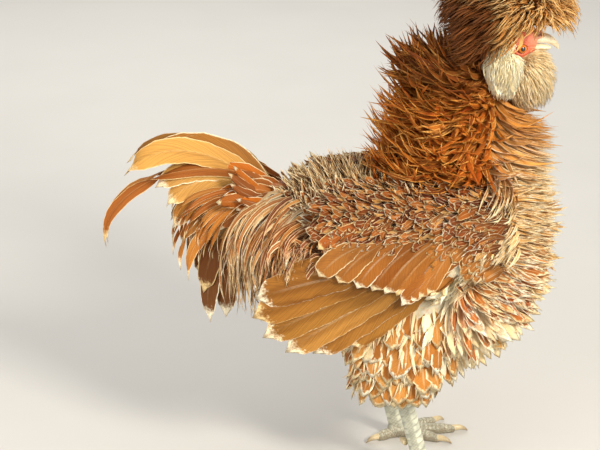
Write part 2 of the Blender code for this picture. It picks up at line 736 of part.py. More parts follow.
def crest_stance(ray):
    """Crown feathers stand up and fall over, the lower ones hang, and those over the beak flare forward."""
    crown = min(max(ray.z, 0.0), 1.0)
    flare = (1.0 - crown) * min(max((ray.x - 0.25) / 0.5, 0.0), 1.0)
    length = 0.034 + 0.036 * crown + 0.012 * max(-ray.x, 0.0) * (1.0 - crown)
    return 40.0 + 35.0 * crown + 24.0 * flare, 20.0 * crown + 56.0 * flare - 30.0, length


def feather_all():
    add_feathers(node("tail"), tail_feathers())
    for name, side in SIDES.items():
        add_feathers(node(f"wing_{name}"), wing_feathers(name, side))
    swept = Vector((-0.35, 0.0, -1.0))
    crest = tuft_of("crest", CREST, 60, swept, 0.0098, crest_stance, lambda ray: ray.z > 0.35 * ray.x - 0.15)
    add_feathers(node("crest"), crest)
    for name, side in SIDES.items():
        tuft = (mirrored(MUFF[0], side), *MUFF[1:])
        flow = Vector((-0.5, side * 0.2, -1.0))
        muff = tuft_of(
            f"muff_{name}", tuft, 15, flow, 0.0060,
            lambda ray: (8.0, 50.0, 0.024), lambda ray, side=side: ray.y * side > -0.1,
        )
        add_feathers(node(f"muff_{name}"), muff)
    hanging = Vector((0.1, 0.0, -1.0))
    beard = tuft_of(
        "beard", BEARD, 15, hanging, 0.0068, lambda ray: (8.0, 50.0, 0.027), lambda ray: ray.x > -0.5
    )
    add_feathers(node("beard"), beard)
    add_feathers(node("neck"), coat_of(neck_form, "neck", 6, 0.031, 0.0130, 14.0, 84.0, 0.08, 0.96))
    body = coat_of(torso_form, "torso", 7, 0.041, 0.0155, 9.0, 58.0, 0.05, 0.99)
    add_feathers(node("torso"), saddle_feathers() + body)
    for name in SIDES:
        coat = coat_of(thigh_forms[name], f"thigh_{name}", 4, 0.034, 0.0130, 8.0, 58.0, 0.04, 0.92)
        add_feathers(node(f"thigh_{name}"), coat)


def node(name):
    return bpy.data.objects[name]


def set_down():
    """Moves the bird so that the middle of its box stands on the origin."""
    boxes = [box_of(obj) for obj in nodes]
    low = Vector([min(box[0][k] for box in boxes) for k in range(3)])
    high = Vector([max(box[1][k] for box in boxes) for k in range(3)])
    shift = Matrix.Translation((-(low.x + high.x) / 2, -(low.y + high.y) / 2, -low.z))
    for obj in nodes:
        obj.data.transform(shift)
        obj.data.shade_smooth()


clear_scene()
bird = bpy.data.collections.new("padovana_cock")
bpy.context.scene.collection.children.link(bird)
nodes, trees = [], {}
torso_form, neck_form = Form(TORSO), Form(NECK)
wing_forms = {name: Form(WING, WING_OUT, side) for name, side in SIDES.items()}
thigh_forms = {name: Form(THIGH, THIGH_OUT, side, 0.5 * STRIDE[name]) for name, side in SIDES.items()}
build_eyes()
build_beak()
build_head()
build_tuft_cores()
build_legs()
build_body_cores()
trees.update({obj.name: tree_of_object(obj) for obj in nodes})
feather_all()
set_down()
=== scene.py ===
"""The looks of a frizzled Padovana cock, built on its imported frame.

Metres, +Z up. The bird faces +X and its left side is +Y. Tables of sizes are in the bird's own
frame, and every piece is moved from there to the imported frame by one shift.
"""

import math
from contextlib import contextmanager

import bmesh
import bpy
import numpy as np
from mathutils import Matrix, Vector
from mathutils.bvhtree import BVHTree


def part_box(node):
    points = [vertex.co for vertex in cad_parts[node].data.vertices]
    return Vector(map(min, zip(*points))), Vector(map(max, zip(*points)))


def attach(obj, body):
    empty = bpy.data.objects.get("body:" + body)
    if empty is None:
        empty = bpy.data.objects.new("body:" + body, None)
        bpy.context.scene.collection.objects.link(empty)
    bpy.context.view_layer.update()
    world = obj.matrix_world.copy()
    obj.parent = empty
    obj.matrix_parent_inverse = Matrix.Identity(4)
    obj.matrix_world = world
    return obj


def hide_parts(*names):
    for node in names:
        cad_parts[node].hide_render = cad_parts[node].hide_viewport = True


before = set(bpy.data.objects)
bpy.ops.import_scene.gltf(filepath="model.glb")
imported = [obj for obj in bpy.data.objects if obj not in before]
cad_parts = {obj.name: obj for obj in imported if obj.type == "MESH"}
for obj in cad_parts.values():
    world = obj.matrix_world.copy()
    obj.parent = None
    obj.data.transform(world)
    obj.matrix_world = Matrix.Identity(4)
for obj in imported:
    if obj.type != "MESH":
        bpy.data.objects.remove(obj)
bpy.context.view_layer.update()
chance = np.random.default_rng(11)
SIDES = {"right": -1.0, "left": 1.0}

# Each form is a row of stations: x, z, half width, half height and, under a coat, the coat's depth on
# the upper side (angle 0) and on the lower side (180 degrees). Angle 90 is the bird's left.
TORSO = (
    (-0.113, 0.257, 0.009, 0.009, 0.012, 0.010),
    (-0.095, 0.244, 0.028, 0.026, 0.022, 0.022),
    (-0.065, 0.228, 0.046, 0.044, 0.029, 0.026),
    (-0.025, 0.207, 0.058, 0.062, 0.030, 0.028),
    (0.015, 0.194, 0.062, 0.076, 0.028, 0.031),
    (0.050, 0.202, 0.054, 0.072, 0.028, 0.033),
    (0.081, 0.226, 0.038, 0.052, 0.030, 0.032),
    (0.100, 0.242, 0.014, 0.021, 0.034, 0.032),
    (0.103, 0.243, 0.004, 0.005, 0.034, 0.032),
)
NECK = (
    (0.040, 0.245, 0.042, 0.042, 0.030, 0.038),
    (0.042, 0.275, 0.037, 0.040, 0.050, 0.050),
    (0.045, 0.310, 0.028, 0.033, 0.058, 0.054),
    (0.050, 0.345, 0.020, 0.026, 0.062, 0.054),
    (0.057, 0.370, 0.016, 0.022, 0.070, 0.014),
    (0.062, 0.384, 0.014, 0.018, 0.072, 0.002),
)
HEAD = (
    (0.055, 0.3915, 0.005, 0.005),
    (0.060, 0.3935, 0.013, 0.013),
    (0.070, 0.3985, 0.0175, 0.0190),
    (0.082, 0.4015, 0.0178, 0.0200),
    (0.092, 0.4015, 0.0160, 0.0180),
    (0.100, 0.4015, 0.0125, 0.0135),
    (0.105, 0.4015, 0.0092, 0.0100),
    (0.107, 0.4015, 0.0040, 0.0045),
)
UPPER_BEAK = (
    (0.098, 0.4037, 0.0078, 0.0048),
    (0.108, 0.4039, 0.0071, 0.0046),
    (0.115, 0.4029, 0.0055, 0.0040),
    (0.1205, 0.4005, 0.0038, 0.0033),
    (0.1243, 0.3970, 0.0022, 0.0022),
    (0.1262, 0.3935, 0.0005, 0.0005),
)
LOWER_BEAK = (
    (0.098, 0.3955, 0.0070, 0.0028),
    (0.108, 0.3957, 0.0060, 0.0026),
    (0.115, 0.3955, 0.0042, 0.0021),
    (0.1195, 0.3947, 0.0014, 0.0010),
)
WING = (
    (-0.066, 0.219, 0.0030, 0.010, 0.012, 0.004),
    (-0.040, 0.222, 0.0075, 0.028, 0.014, 0.004),
    (0.000, 0.229, 0.0100, 0.035, 0.014, 0.004),
    (0.032, 0.241, 0.0095, 0.028, 0.012, 0.004),
    (0.054, 0.255, 0.0035, 0.010, 0.008, 0.004),
)
WING_OUT = (0.079, 0.080, 0.081, 0.079, 0.075)
TAIL = (
    (-0.144, 0.261, 0.0050, 0.007),
    (-0.132, 0.259, 0.0115, 0.014),
    (-0.119, 0.257, 0.0130, 0.016),
    (-0.106, 0.255, 0.0100, 0.013),
)
THIGH = (
    (-0.017, 0.092, 0.010, 0.012, 0.008, 0.008),
    (-0.017, 0.116, 0.022, 0.030, 0.024, 0.022),
    (-0.012, 0.150, 0.027, 0.042, 0.024, 0.022),
    (-0.006, 0.186, 0.024, 0.044, 0.012, 0.010),
)
THIGH_OUT = (0.043, 0.046, 0.047, 0.044)
LEG_OUT = 0.043
STRIDE = {"right": 0.010, "left": -0.009}
# The eye's middle and the middle of the lobe over the nostril, on the bird's left.
EYE = np.array((0.0925, 0.0118, 0.3975))
CERE = np.array((0.1078, 0.0042, 0.4070))
SIDEWAYS = np.array((0.0, 1.0, 0.0))
THINNEST = 0.0003

# Feather outlines: shares of the half width at even steps from the root to just before the tip.
OVATE = (0.30, 0.68, 0.92, 1.0, 1.0, 0.93, 0.70)
ROUND = (0.30, 0.62, 0.86, 0.98, 1.0, 0.97, 0.86, 0.60)
LANCE = (0.40, 0.85, 1.0, 0.92, 0.72, 0.44)
STRAND = (0.55, 0.85, 1.0, 1.0, 0.90, 0.70, 0.42)
# Half the thickness of a vane, how deep a root sits under the skin, and the size of one feather's
# patch on the bake map.
QUILL_HALF = 0.00022
ROOT_DEPTH = 0.001
BAKE_PATCH = 0.003
GOLDEN_TURN = math.radians(137.508)


def linear(*codes):
    """Linear colours from 0 to 255 screen codes, one row for each."""
    share = np.array(codes, float) / 255
    return np.where(share <= 0.04045, share / 12.92, ((share + 0.055) / 1.055) ** 2.4)


def unit(vectors):
    return vectors / np.maximum(np.linalg.norm(vectors, axis=-1, keepdims=True), 1e-12)


def dot(a, b):
    return np.sum(a * b, axis=-1, keepdims=True)


def stacked(*values):
    """Vectors from their parts, single numbers included."""
    return np.stack(np.broadcast_arrays(*values), -1)


def turned(vectors, axes, angles):
    """Vectors turned round unit axes by angles in radians."""
    c, s = np.cos(angles)[:, None], np.sin(angles)[:, None]
    return vectors * c + np.cross(axes, vectors) * s + axes * dot(axes, vectors) * (1 - c)


def curve_value(values, share):
    """A smooth curve through evenly spaced values, read at an array of shares from 0 to 1."""
    values = np.asarray(values, float)
    place = np.clip(share, 0.0, 1.0) * (len(values) - 1)
    k = np.minimum(place.astype(int), len(values) - 2)
    t = place - k
    a, b = values[np.maximum(k - 1, 0)], values[k]
    c, d = values[k + 1], values[np.minimum(k + 2, len(values) - 1)]
    return 0.5 * (
        2 * b + (c - a) * t + (2 * a - 5 * b + 4 * c - d) * t**2 + (3 * b - a - 3 * c + d) * t**3
    )


def ring_faces(rings, sides):
    """Four-sided faces between neighbouring rings of points."""
    faces = []
    for ring in range(rings):
        for k in range(sides):
            a, b = ring * sides + k, ring * sides + (k + 1) % sides
            faces.append((a, b, b + sides, a + sides))
    return faces


class Form:
    """A form of the body: ellipses along a smooth spine."""

    nudge = 0.01

    def __init__(self, stations, out=None, side=1.0, ahead=0.0):
        self.x, self.z, self.width, self.height, *self.depths = np.array(stations, float).T
        self.y = side * np.array(out or [0.0] * len(stations))
        self.ahead = ahead

    def centre(self, along):
        x = curve_value(self.x, along) + self.ahead
        return stacked(x, curve_value(self.y, along), curve_value(self.z, along))

    def forward(self, along):
        before, after = np.maximum(along - self.nudge, 0.0), np.minimum(along + self.nudge, 1.0)
        return unit(self.centre(after) - self.centre(before))

    def coat(self, along, angle):
        """How deep the coat is."""
        share = 0.5 + 0.5 * np.cos(angle)
        upper, lower = (curve_value(depth, along) for depth in self.depths)
        return upper * share + lower * (1 - share)

    def point(self, along, angle):
        up = unit(np.cross(self.forward(along), SIDEWAYS))
        half_width = np.maximum(curve_value(self.width, along), THINNEST)
        half_height = np.maximum(curve_value(self.height, along), THINNEST)
        across = SIDEWAYS * (half_width * np.sin(angle))[..., None]
        return self.centre(along) + (across + up * (half_height * np.cos(angle))[..., None])

    def normal(self, along, angle):
        nudge = 2 * self.nudge
        before, after = np.maximum(along - nudge, 0.0), np.minimum(along + nudge, 1.0)
        lengthwise = self.point(after, angle) - self.point(before, angle)
        around = self.point(along, angle + nudge) - self.point(along, angle - nudge)
        return unit(np.cross(lengthwise, around))

    def roots(self, spacing, first, last):
        """(along, angle) of roots spread evenly over the form."""
        line = self.centre(np.linspace(first, last, 60))
        rows = max(int(np.linalg.norm(np.diff(line, axis=0), axis=1).sum() / spacing), 2)
        alongs, angles = [], []
        for row in range(rows):
            along = first + (last - first) * (row + 0.5) / rows
            ring = self.point(np.full(25, along), np.linspace(0, 2 * np.pi, 25))
            count = max(int(np.linalg.norm(np.diff(ring, axis=0), axis=1).sum() / spacing), 4)
            jitter = chance.uniform(-0.35, 0.35, count)
            angles.append(2 * np.pi * (np.arange(count) + 0.5 * (row % 2) + jitter) / count)
            alongs.append(along + chance.uniform(-0.5, 0.5, count) * (last - first) / rows)
        return np.concatenate(alongs), np.concatenate(angles)

    def mesh(self, rings, sides):
        """(points, faces) of the closed form."""
        along = np.repeat(np.linspace(0, 1, rings + 1), sides)
        angle = np.tile(np.arange(sides) * 2 * np.pi / sides, rings + 1)
        points = [*self.point(along, angle), *self.centre(np.array((0.0, 1.0)))]
        faces = ring_faces(rings, sides)
        last = rings * sides
        for k in range(sides):
            faces.append((len(points) - 2, (k + 1) % sides, k))
            faces.append((len(points) - 1, last + k, last + (k + 1) % sides))
        return points, faces


torso_form, neck_form, head_form = Form(TORSO), Form(NECK), Form(HEAD)
wing_forms = {name: Form(WING, WING_OUT, side) for name, side in SIDES.items()}
thigh_forms = {name: Form(THIGH, THIGH_OUT, side, 0.5 * STRIDE[name]) for name, side in SIDES.items()}
eye_low, eye_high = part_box("eye_right")
SHIFT = (np.array(eye_low) + np.array(eye_high)) / 2 - EYE * (1, -1, 1)


def finished(obj, slot, *nodes):
    """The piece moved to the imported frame, riding on the body, in place of the nodes."""
    obj.data.transform(Matrix.Translation(SHIFT))
    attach(obj, "root")
    if nodes:
        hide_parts(*nodes)
    return obj


def new_object(name, points, faces):
    mesh = bpy.data.meshes.new(name)
    mesh.from_pydata([tuple(p) for p in points], [], faces)
    obj = bpy.data.objects.new(name, mesh)
    bpy.context.scene.collection.objects.link(obj)
    return obj


def set_colours(mesh, name, colours):
    colours = np.concatenate([colours, np.ones((len(colours), 1))], 1).astype(np.float32)
    mesh.attributes.new(name, "FLOAT_COLOR", "POINT").data.foreach_set("color", colours.ravel())


def set_values(mesh, name, values):
    mesh.attributes.new(name, "FLOAT", "POINT").data.foreach_set("value", np.asarray(values, np.float32))


def read_vectors(mesh, key="co"):
    """The places of the mesh's points, or another vector that they hold."""
    values = np.empty(len(mesh.vertices) * 3, np.float32)
    mesh.vertices.foreach_get(key, values)
    return values.reshape(-1, 3).astype(float)


def move_points(mesh, points):
    mesh.vertices.foreach_set("co", points.astype(np.float32).ravel())


def smooth_piece(obj, material):
    obj.data.polygons.foreach_set("use_smooth", np.ones(len(obj.data.polygons), bool))
    obj.data.materials.clear()
    obj.data.materials.append(material)
    obj.data.update()
    return obj


@contextmanager
def opened(mesh):
    """The mesh open for work on its faces, written back afterwards."""
    work = bmesh.new()
    work.from_mesh(mesh)
    yield work
    work.to_mesh(mesh)
    work.free()


class Nodes:
    """A material under construction."""

    def __init__(self, name, roughness):
        self.material = bpy.data.materials.new(name)
        self.material.use_nodes = True
        self.tree = self.material.node_tree
        self.shader = self.tree.nodes["Principled BSDF"]
        self.shader.inputs["Roughness"].default_value = roughness

    def add(self, kind, inputs=None, **settings):
        node = self.tree.nodes.new(kind)
        for key, value in settings.items():
            setattr(node, key, value)
        for key, value in (inputs or {}).items():
            self.put(node.inputs[key], value)
        return node

    def put(self, socket, value):
        if isinstance(value, bpy.types.NodeSocket):
            self.tree.links.new(value, socket)
        else:
            socket.default_value = value

    def math(self, operation, *values):
        node = self.add("ShaderNodeMath", operation=operation)
        for socket, value in zip(node.inputs, values):
            self.put(socket, value)
        return node.outputs[0]

    def ranged(self, value, low, high, to_low=0.0, to_high=1.0):
        node = self.add("ShaderNodeMapRange", interpolation_type="SMOOTHSTEP")
        names = ("Value", "From Min", "From Max", "To Min", "To Max")
        for key, given in zip(names, (value, low, high, to_low, to_high)):
            self.put(node.inputs[key], given)
        return node.outputs[0]

    def mix(self, factor, a, b, blend="MIX"):
        node = self.add("ShaderNodeMix", data_type="RGBA", blend_type=blend)
        for socket, value in zip((node.inputs[0], node.inputs[6], node.inputs[7]), (factor, a, b)):
            self.put(socket, value)
        return node.outputs[2]

    def noise(self, scale, detail, vector=None):
        node = self.add("ShaderNodeTexNoise", {"Scale": scale, "Detail": detail})
        if vector is not None:
            self.put(node.inputs["Vector"], vector)
        return node.outputs["Fac"]

    def attribute(self, name, output="Color"):
        return self.add("ShaderNodeAttribute", attribute_name=name).outputs[output]

    def position(self):
        return self.add("ShaderNodeNewGeometry").outputs["Position"]

    def surface(self, inputs):
        for key, value in inputs.items():
            self.put(self.shader.inputs[key], value)

    def bump(self, height, strength, distance):
        node = self.add("ShaderNodeBump", {"Height": height, "Strength": strength, "Distance": distance})
        self.surface({"Normal": node.outputs["Normal"]})


def feather_material(name, lace, tip, shaft=0.35, barbs=0.16, down=0.45, clouding=0.3, fraying=0.34,
                     bow=0.0, shaft_shade=0.0):
    """Feathers whose middle and edge colours are attributes.

    Lace and tip say where the edge colour starts and is full, over the width and along the feather.
    Shaft is how much the shaft takes of it, barbs the contrast of the barbs, down the brightness of the
    root, where the darker down and painted shade under the overlapping feathers lie, clouding the
    strength of greyer patches at random, fraying how uneven the edge is, bow how far it follows a round
    tip, and shaft_shade the strength of a painted shade band beside the shaft, where the feather above
    shades it.
    """
    rough, grey_and_shade_tint = 0.6, (0.62, 0.56, 0.52, 1.0)
    nodes = Nodes(name, rough)
    split = nodes.add("ShaderNodeSeparateXYZ", {"Vector": nodes.attribute("vane", "Vector")})
    across = nodes.math("ABSOLUTE", split.outputs["X"])
    along, seed = split.outputs["Y"], split.outputs["Z"]
    fray = nodes.math("MULTIPLY_ADD", nodes.noise(420.0, 3.0, nodes.position()), fraying, -fraying / 2)
    beside = nodes.ranged(nodes.math("ADD", across, fray), *lace)
    outer = nodes.math("MULTIPLY_ADD", across, bow, nodes.math("ADD", along, fray))
    edge = nodes.math("MAXIMUM", beside, nodes.ranged(outer, *tip))
    rim = nodes.attribute("rim")
    colour = nodes.mix(edge, nodes.attribute("middle"), rim)
    place = {"X": nodes.math("MULTIPLY", split.outputs["X"], 0.7), "Y": along,
             "Z": nodes.math("MULTIPLY", seed, 40.0)}
    cloud = nodes.add("ShaderNodeCombineXYZ", place).outputs["Vector"]
    grey_patches_and_shade = nodes.ranged(nodes.noise(2.2, 2.0, cloud), 0.45, 0.75, 0.0, clouding)
    # Where asked for, a painted shade band beside the shaft joins the greyer patches: the shadow of the
    # feather that overlaps this one.
    if shaft_shade:
        grey_patches_and_shade = nodes.math("MAXIMUM", grey_patches_and_shade, nodes.ranged(across, 0.55, 0.20, 0.0, shaft_shade))
    colour = nodes.mix(grey_patches_and_shade, colour, nodes.mix(1.0, colour, grey_and_shade_tint, "MULTIPLY"))
    shaft_line = nodes.math("MULTIPLY", nodes.ranged(across, 0.12, 0.04), nodes.ranged(along, 0.95, 0.6))
    colour = nodes.mix(nodes.math("MULTIPLY", shaft_line, shaft), colour, rim)
    slant = nodes.math("MULTIPLY_ADD", along, 34.0, nodes.math("MULTIPLY", seed, 19.0))
    slant = nodes.math("MULTIPLY_ADD", across, -9.0, slant)
    streak = nodes.add("ShaderNodeTexNoise", {"W": slant, "Scale": 1.6, "Detail": 2.0},
                       noise_dimensions="1D").outputs["Fac"]
    # The root is darker, for its down and as painted shade under the overlapping feathers.
    shade = nodes.math("MULTIPLY", nodes.ranged(streak, 0.3, 0.7, 1.0 - barbs, 1.0 + barbs),
                       nodes.ranged(along, 0.15, 0.62, down, 1.0))
    grey = nodes.add("ShaderNodeCombineColor", {"Red": shade, "Green": shade, "Blue": shade}).outputs["Color"]
    nodes.surface({"Base Color": nodes.mix(1.0, colour, grey, "MULTIPLY"), "Specular IOR Level": 0.15,
                   "Roughness": nodes.ranged(streak, 0.2, 0.8, rough - 0.08, rough + 0.12)})
    nodes.bump(streak, 0.5, 0.0004)
    return nodes.material


class Coat:
    """One piece made of many feathers, each a closed pointed blade round a bent middle line."""

    def __init__(self, name):
        self.name = name
        self.batches = []

    def add(self, root, tip, start, finish, face, half_width, middle, rim, bake,
            outline=OVATE, across=3, cup=0.2, ragged=0.15, twist=0.0, grips=(0.40, 0.36), quill=0.0):
        """Feathers from root to tip, leaving along start and ending along finish.

        Face is the outer side at the root. Across is the number of points over the width, or their
        places, grips the pull of start and finish on the line, and quill the height of the shaft.
        """
        count, rows = len(root), len(outline)
        t = (np.arange(rows + 1) / rows)[None, :, None]
        span = np.linalg.norm(tip - root, axis=1)[:, None, None]
        a, d = root[:, None], tip[:, None]
        b, c = a + unit(start)[:, None] * span * grips[0], d - unit(finish)[:, None] * span * grips[1]
        line = (1 - t) ** 3 * a + 3 * (1 - t) ** 2 * t * b + 3 * (1 - t) * t**2 * c + t**3 * d
        heading = unit(np.gradient(line, axis=1))
        side = np.cross(face, unit(start))[:, None]
        side = unit(side - heading * dot(side, heading))
        over = np.cross(heading, side)
        roll = (np.zeros(count) + twist)[:, None, None] * t
        side, over = side * np.cos(roll) + over * np.sin(roll), over * np.cos(roll) - side * np.sin(roll)
        width = (np.zeros(count) + half_width)[:, None] * np.array(outline)
        u = np.linspace(-1, 1, across) if isinstance(across, int) else np.array(across)
        ring = [(v, 1.0) for v in u] + [(v, -1.0) for v in u[-2:0:-1]]
        size = len(ring)
        uneven = 1 + ragged * chance.uniform(-1, 1, (count, rows, 2))
        points = np.empty((count, rows * size + 1, 3))
        values = np.empty((count, rows * size + 1, 3))
        seeds = chance.random(count)
        for k, (v, face_sign) in enumerate(ring):
            reach = width * v * (uneven[:, :, 0] if v < 0 else uneven[:, :, 1])
            round_off = 1 - v * v
            rise = width * cup * round_off + face_sign * QUILL_HALF * round_off + face_sign * quill * (v == 0)
            points[:, k:rows * size:size] = (line[:, :rows] + side[:, :rows] * reach[..., None]
                                             + over[:, :rows] * rise[..., None])
            values[:, k:rows * size:size] = stacked(v, t[:, :rows, 0], seeds[:, None])
        points[:, -1] = line[:, -1]
        values[:, -1] = stacked(0.0, 1.0, seeds)
        local = []
        for row in range(rows - 1):
            for k in range(size):
                p, q = row * size + k, row * size + (k + 1) % size
                local.append((p, p + size, q + size, q))
        caps = [((rows - 1) * size + k, rows * size, (rows - 1) * size + (k + 1) % size) for k in range(size)]
        caps += [(0, k, k + 1) for k in range(1, size - 1)]
        rims = np.zeros(rows * size + 1, int)
        rims[0:rows * size:size] = 1
        rims[len(u) - 1:rows * size:size] = 2
        patch = stacked(values[..., 0] * 0.5, values[..., 1]) * BAKE_PATCH
        self.batches.append((points, values, np.array(local), np.array(caps), rims,
                             np.broadcast_to(middle, (count, 3)), np.broadcast_to(rim, (count, 3)),
                             bake[:, None] + patch))

    def build(self, material, slot, *nodes):
        """The mesh piece of all feathers added."""
        points, values, quads, tris, rims, middles, edges, maps = [], [], [], [], [], [], [], []
        start, feather = 0, 0
        for place, value, local, caps, rim_of, middle, edge, bake in self.batches:
            count, each = place.shape[:2]
            offset = start + np.arange(count)[:, None, None] * each
            quads.append((local[None] + offset).reshape(-1, 4))
            tris.append((caps[None] + offset).reshape(-1, 3))
            numbers = (feather + np.arange(count))[:, None] * 2 + rim_of[None]
            rims.append(np.where(rim_of[None] > 0, numbers + 1, 0).ravel())
            for store, given in ((points, place), (values, value), (maps, bake)):
                store.append(given.reshape(-1, given.shape[-1]))
            for store, given in ((middles, middle), (edges, edge)):
                store.append(np.repeat(given, each, axis=0))
            start += count * each
            feather += count
        points, values, maps = (np.concatenate(x).astype(np.float32) for x in (points, values, maps))
        quads, tris, rims = (np.concatenate(x) for x in (quads, tris, rims))
        mesh = bpy.data.meshes.new(self.name)
        mesh.vertices.add(len(points))
        mesh.vertices.foreach_set("co", points.ravel())
        loops = np.concatenate([quads.ravel(), tris.ravel()]).astype(np.int32)
        mesh.loops.add(len(loops))
        mesh.loops.foreach_set("vertex_index", loops)
        starts = np.concatenate([np.arange(len(quads)) * 4, len(quads) * 4 + np.arange(len(tris)) * 3])
        mesh.polygons.add(len(starts))
        mesh.polygons.foreach_set("loop_start", starts.astype(np.int32))
        mesh.polygons.foreach_set("use_smooth", np.ones(len(starts), bool))
        mesh.update(calc_edges=True)
        ends = np.empty(len(mesh.edges) * 2, np.int32)
        mesh.edges.foreach_get("vertices", ends)
        ends = rims[ends.reshape(-1, 2)]
        sharp = (ends[:, 0] > 0) & (ends[:, 0] == ends[:, 1])
        mesh.attributes.new("sharp_edge", "BOOLEAN", "EDGE").data.foreach_set("value", sharp)
        mesh.attributes.new("vane", "FLOAT_VECTOR", "POINT").data.foreach_set("vector", values.ravel())
        for name, rows in (("middle", middles), ("rim", edges)):
            set_colours(mesh, name, np.concatenate(rows))
        layer = mesh.uv_layers.new(name="OFBake")
        layer.data.foreach_set("uv", maps[loops].ravel())
        mesh.materials.append(material)
        obj = bpy.data.objects.new(self.name, mesh)
        bpy.context.scene.collection.objects.link(obj)
        return finished(obj, slot, *nodes)


def palette(colours, count, vary=0.12):
    """One colour for each feather: two drawn from the palette, mixed, and a little lighter or darker."""
    first, second = (colours[chance.integers(0, len(colours), count)] for _ in range(2))
    share = chance.uniform(0, 0.5, (count, 1))
    return (first * (1 - share) + second * share) * chance.uniform(1 - vary, 1 + vary, (count, 1))


def blended(share, first, second):
    return first * (1 - share[:, None]) + second * share[:, None]


def step(value, low, high):
    share = np.clip((value - low) / (high - low), 0, 1)
    return share * share * (3 - 2 * share)


# Middle and reach of the nostril's slit, of the corner of the mouth and of the pink round the nostrils.
NOSTRIL, NOSTRIL_REACH = np.array((0.1098, 0.0082, 0.4082)), np.array((0.0034, 0.0045, 0.0015))
GAPE, GAPE_REACH = np.array((0.0985, 0.0120, 0.3985)), np.array((0.0075, 0.0050, 0.0007))
PINK, PINK_REACH = np.array((0.1080, 0.0, 0.4060)), np.array((0.0100, 0.0120, 0.0065))
# Half length and half height of the eye's opening, and how far each detail of the head stands out.
OPENING = (0.0050, 0.0041)
LID_RISE, FOLD_RISE, SOCKET_RISE = 0.0012, 0.0004, -0.0040
NOSTRIL_RISE, GAPE_RISE, WRINKLE_RISE = -0.0030, -0.0010, 0.00016


def nearness(points, middle, reach):
    """A share for each point, 1 at the middle and fading out over the reach."""
    return np.exp(-np.sum(((points - middle) / reach) ** 2, 1))


def nostril(points, side):
    """How deep each point of the skin lies in the nostril's slit."""
    return nearness(points, NOSTRIL * (1, side, 1), NOSTRIL_REACH)


def head_detail(points):
    """How far each point of the head's skin moves out, for lids, sockets, nostrils, mouth and wrinkles."""
    moved = np.zeros(len(points))
    for side in SIDES.values():
        local = (points - EYE * (1, side, 1)) * (1, side, 1)
        opening = np.hypot(local[:, 0] / OPENING[0], local[:, 2] / OPENING[1])
        beside = (local[:, 1] > -0.006) & (opening < 5)
        lid = np.exp(-(((opening - 1.22) / 0.22) ** 2)) * LID_RISE
        fold = np.exp(-(((opening - 1.75) / 0.16) ** 2)) * FOLD_RISE
        socket = SOCKET_RISE * (1 - step(opening, 0.80, 1.08))
        moved += np.where(beside, lid + fold + socket, 0)
        moved += nostril(points, side) * NOSTRIL_RISE
        moved += nearness(points, GAPE * (1, side, 1), GAPE_REACH) * GAPE_RISE
    x, _, z = points.T
    wrinkle = np.sin(x * 2100 + 2.0 * np.sin(z * 900)) * np.sin(z * 2300 + 2.2 * np.sin(x * 800))
    return moved + WRINKLE_RISE * wrinkle


def skin_colours(points):
    """The colour of the skin: red face, pink nostrils, and under the coat the coat's own markings."""
    red, pink, bare, slit = linear((240, 124, 92), (244, 190, 156), (170, 110, 66), (70, 26, 20))
    nostrils = nearness(points, PINK, PINK_REACH) ** 1.2
    face = blended(np.clip(nostrils * 1.3, 0, 1), np.broadcast_to(red, points.shape), pink)
    # The nostril's slit is painted dark: painted shade inside its opening.
    for side in SIDES.values():
        face = blended(np.minimum(1.2 * nostril(points, side), 1), face, slit)
    on_face = step(points[:, 0], 0.080, 0.085) * step(points[:, 2], 0.385, 0.390)
    neck = step(points[:, 2], 0.262, 0.275)
    tones = [a * 0.7 + b * 0.3 for a, b in (torso_colours(points), neck_colours(points))]
    under = blended(neck, *tones) * 0.6
    head = step(points[:, 2], 0.372, 0.384)[:, None]
    under = under * (1 - head) + bare * head
    return blended(on_face, under, face)


def skin_material():
    nodes = Nodes("skin", 0.5)
    position, colour = nodes.position(), nodes.attribute("markings")
    cells = nodes.add("ShaderNodeTexVoronoi", {"Scale": 900.0, "Vector": position}).outputs["Distance"]
    blotch = nodes.noise(260.0, 4.0, position)
    dark = nodes.mix(0.45, colour, (0.55, 0.06, 0.03, 1.0))
    colour = nodes.mix(nodes.ranged(blotch, 0.5, 0.8), colour, dark)
    pale = nodes.mix(0.30, colour, (0.85, 0.45, 0.33, 1.0))
    nodes.surface({"Base Color": nodes.mix(nodes.ranged(cells, 0.5, 0.1), colour, pale),
                   "Roughness": nodes.ranged(blotch, 0.3, 0.7, 0.42, 0.62),
                   "Subsurface Weight": 0.10, "Subsurface Radius": (0.002, 0.0008, 0.0005)})
    nodes.bump(cells, 0.5, 0.0004)
    return nodes.material


def ball(centre, radii, segments=24, rings=16):
    """(points, faces) of a ball with a radius for each axis."""
    form = Form([(-math.cos(t), 0, max(math.sin(t), 0.01), max(math.sin(t), 0.01))
                 for t in np.linspace(0.05, math.pi - 0.05, 13)])
    points, faces = form.mesh(rings, segments)
    return list(np.array(points) * radii + centre), faces


def merged(parts):
    points, faces = [], []
    for more_points, more_faces in parts:
        faces += [tuple(k + len(points) for k in face) for face in more_faces]
        points += list(more_points)
    return points, faces


def remeshed(name, parts, voxel, smoothing=4):
    """One closed smooth mesh round all the parts."""
    obj = new_object(name, *merged(parts))
    remesh = obj.modifiers.new("remesh", "REMESH")
    remesh.mode, remesh.voxel_size, remesh.use_smooth_shade = "VOXEL", voxel, True
    smooth = obj.modifiers.new("smooth", "SMOOTH")
    smooth.factor, smooth.iterations = 0.5, smoothing
    graph = bpy.context.evaluated_depsgraph_get()
    mesh = bpy.data.meshes.new_from_object(obj.evaluated_get(graph))
    obj.modifiers.clear()
    obj.data = mesh
    return obj


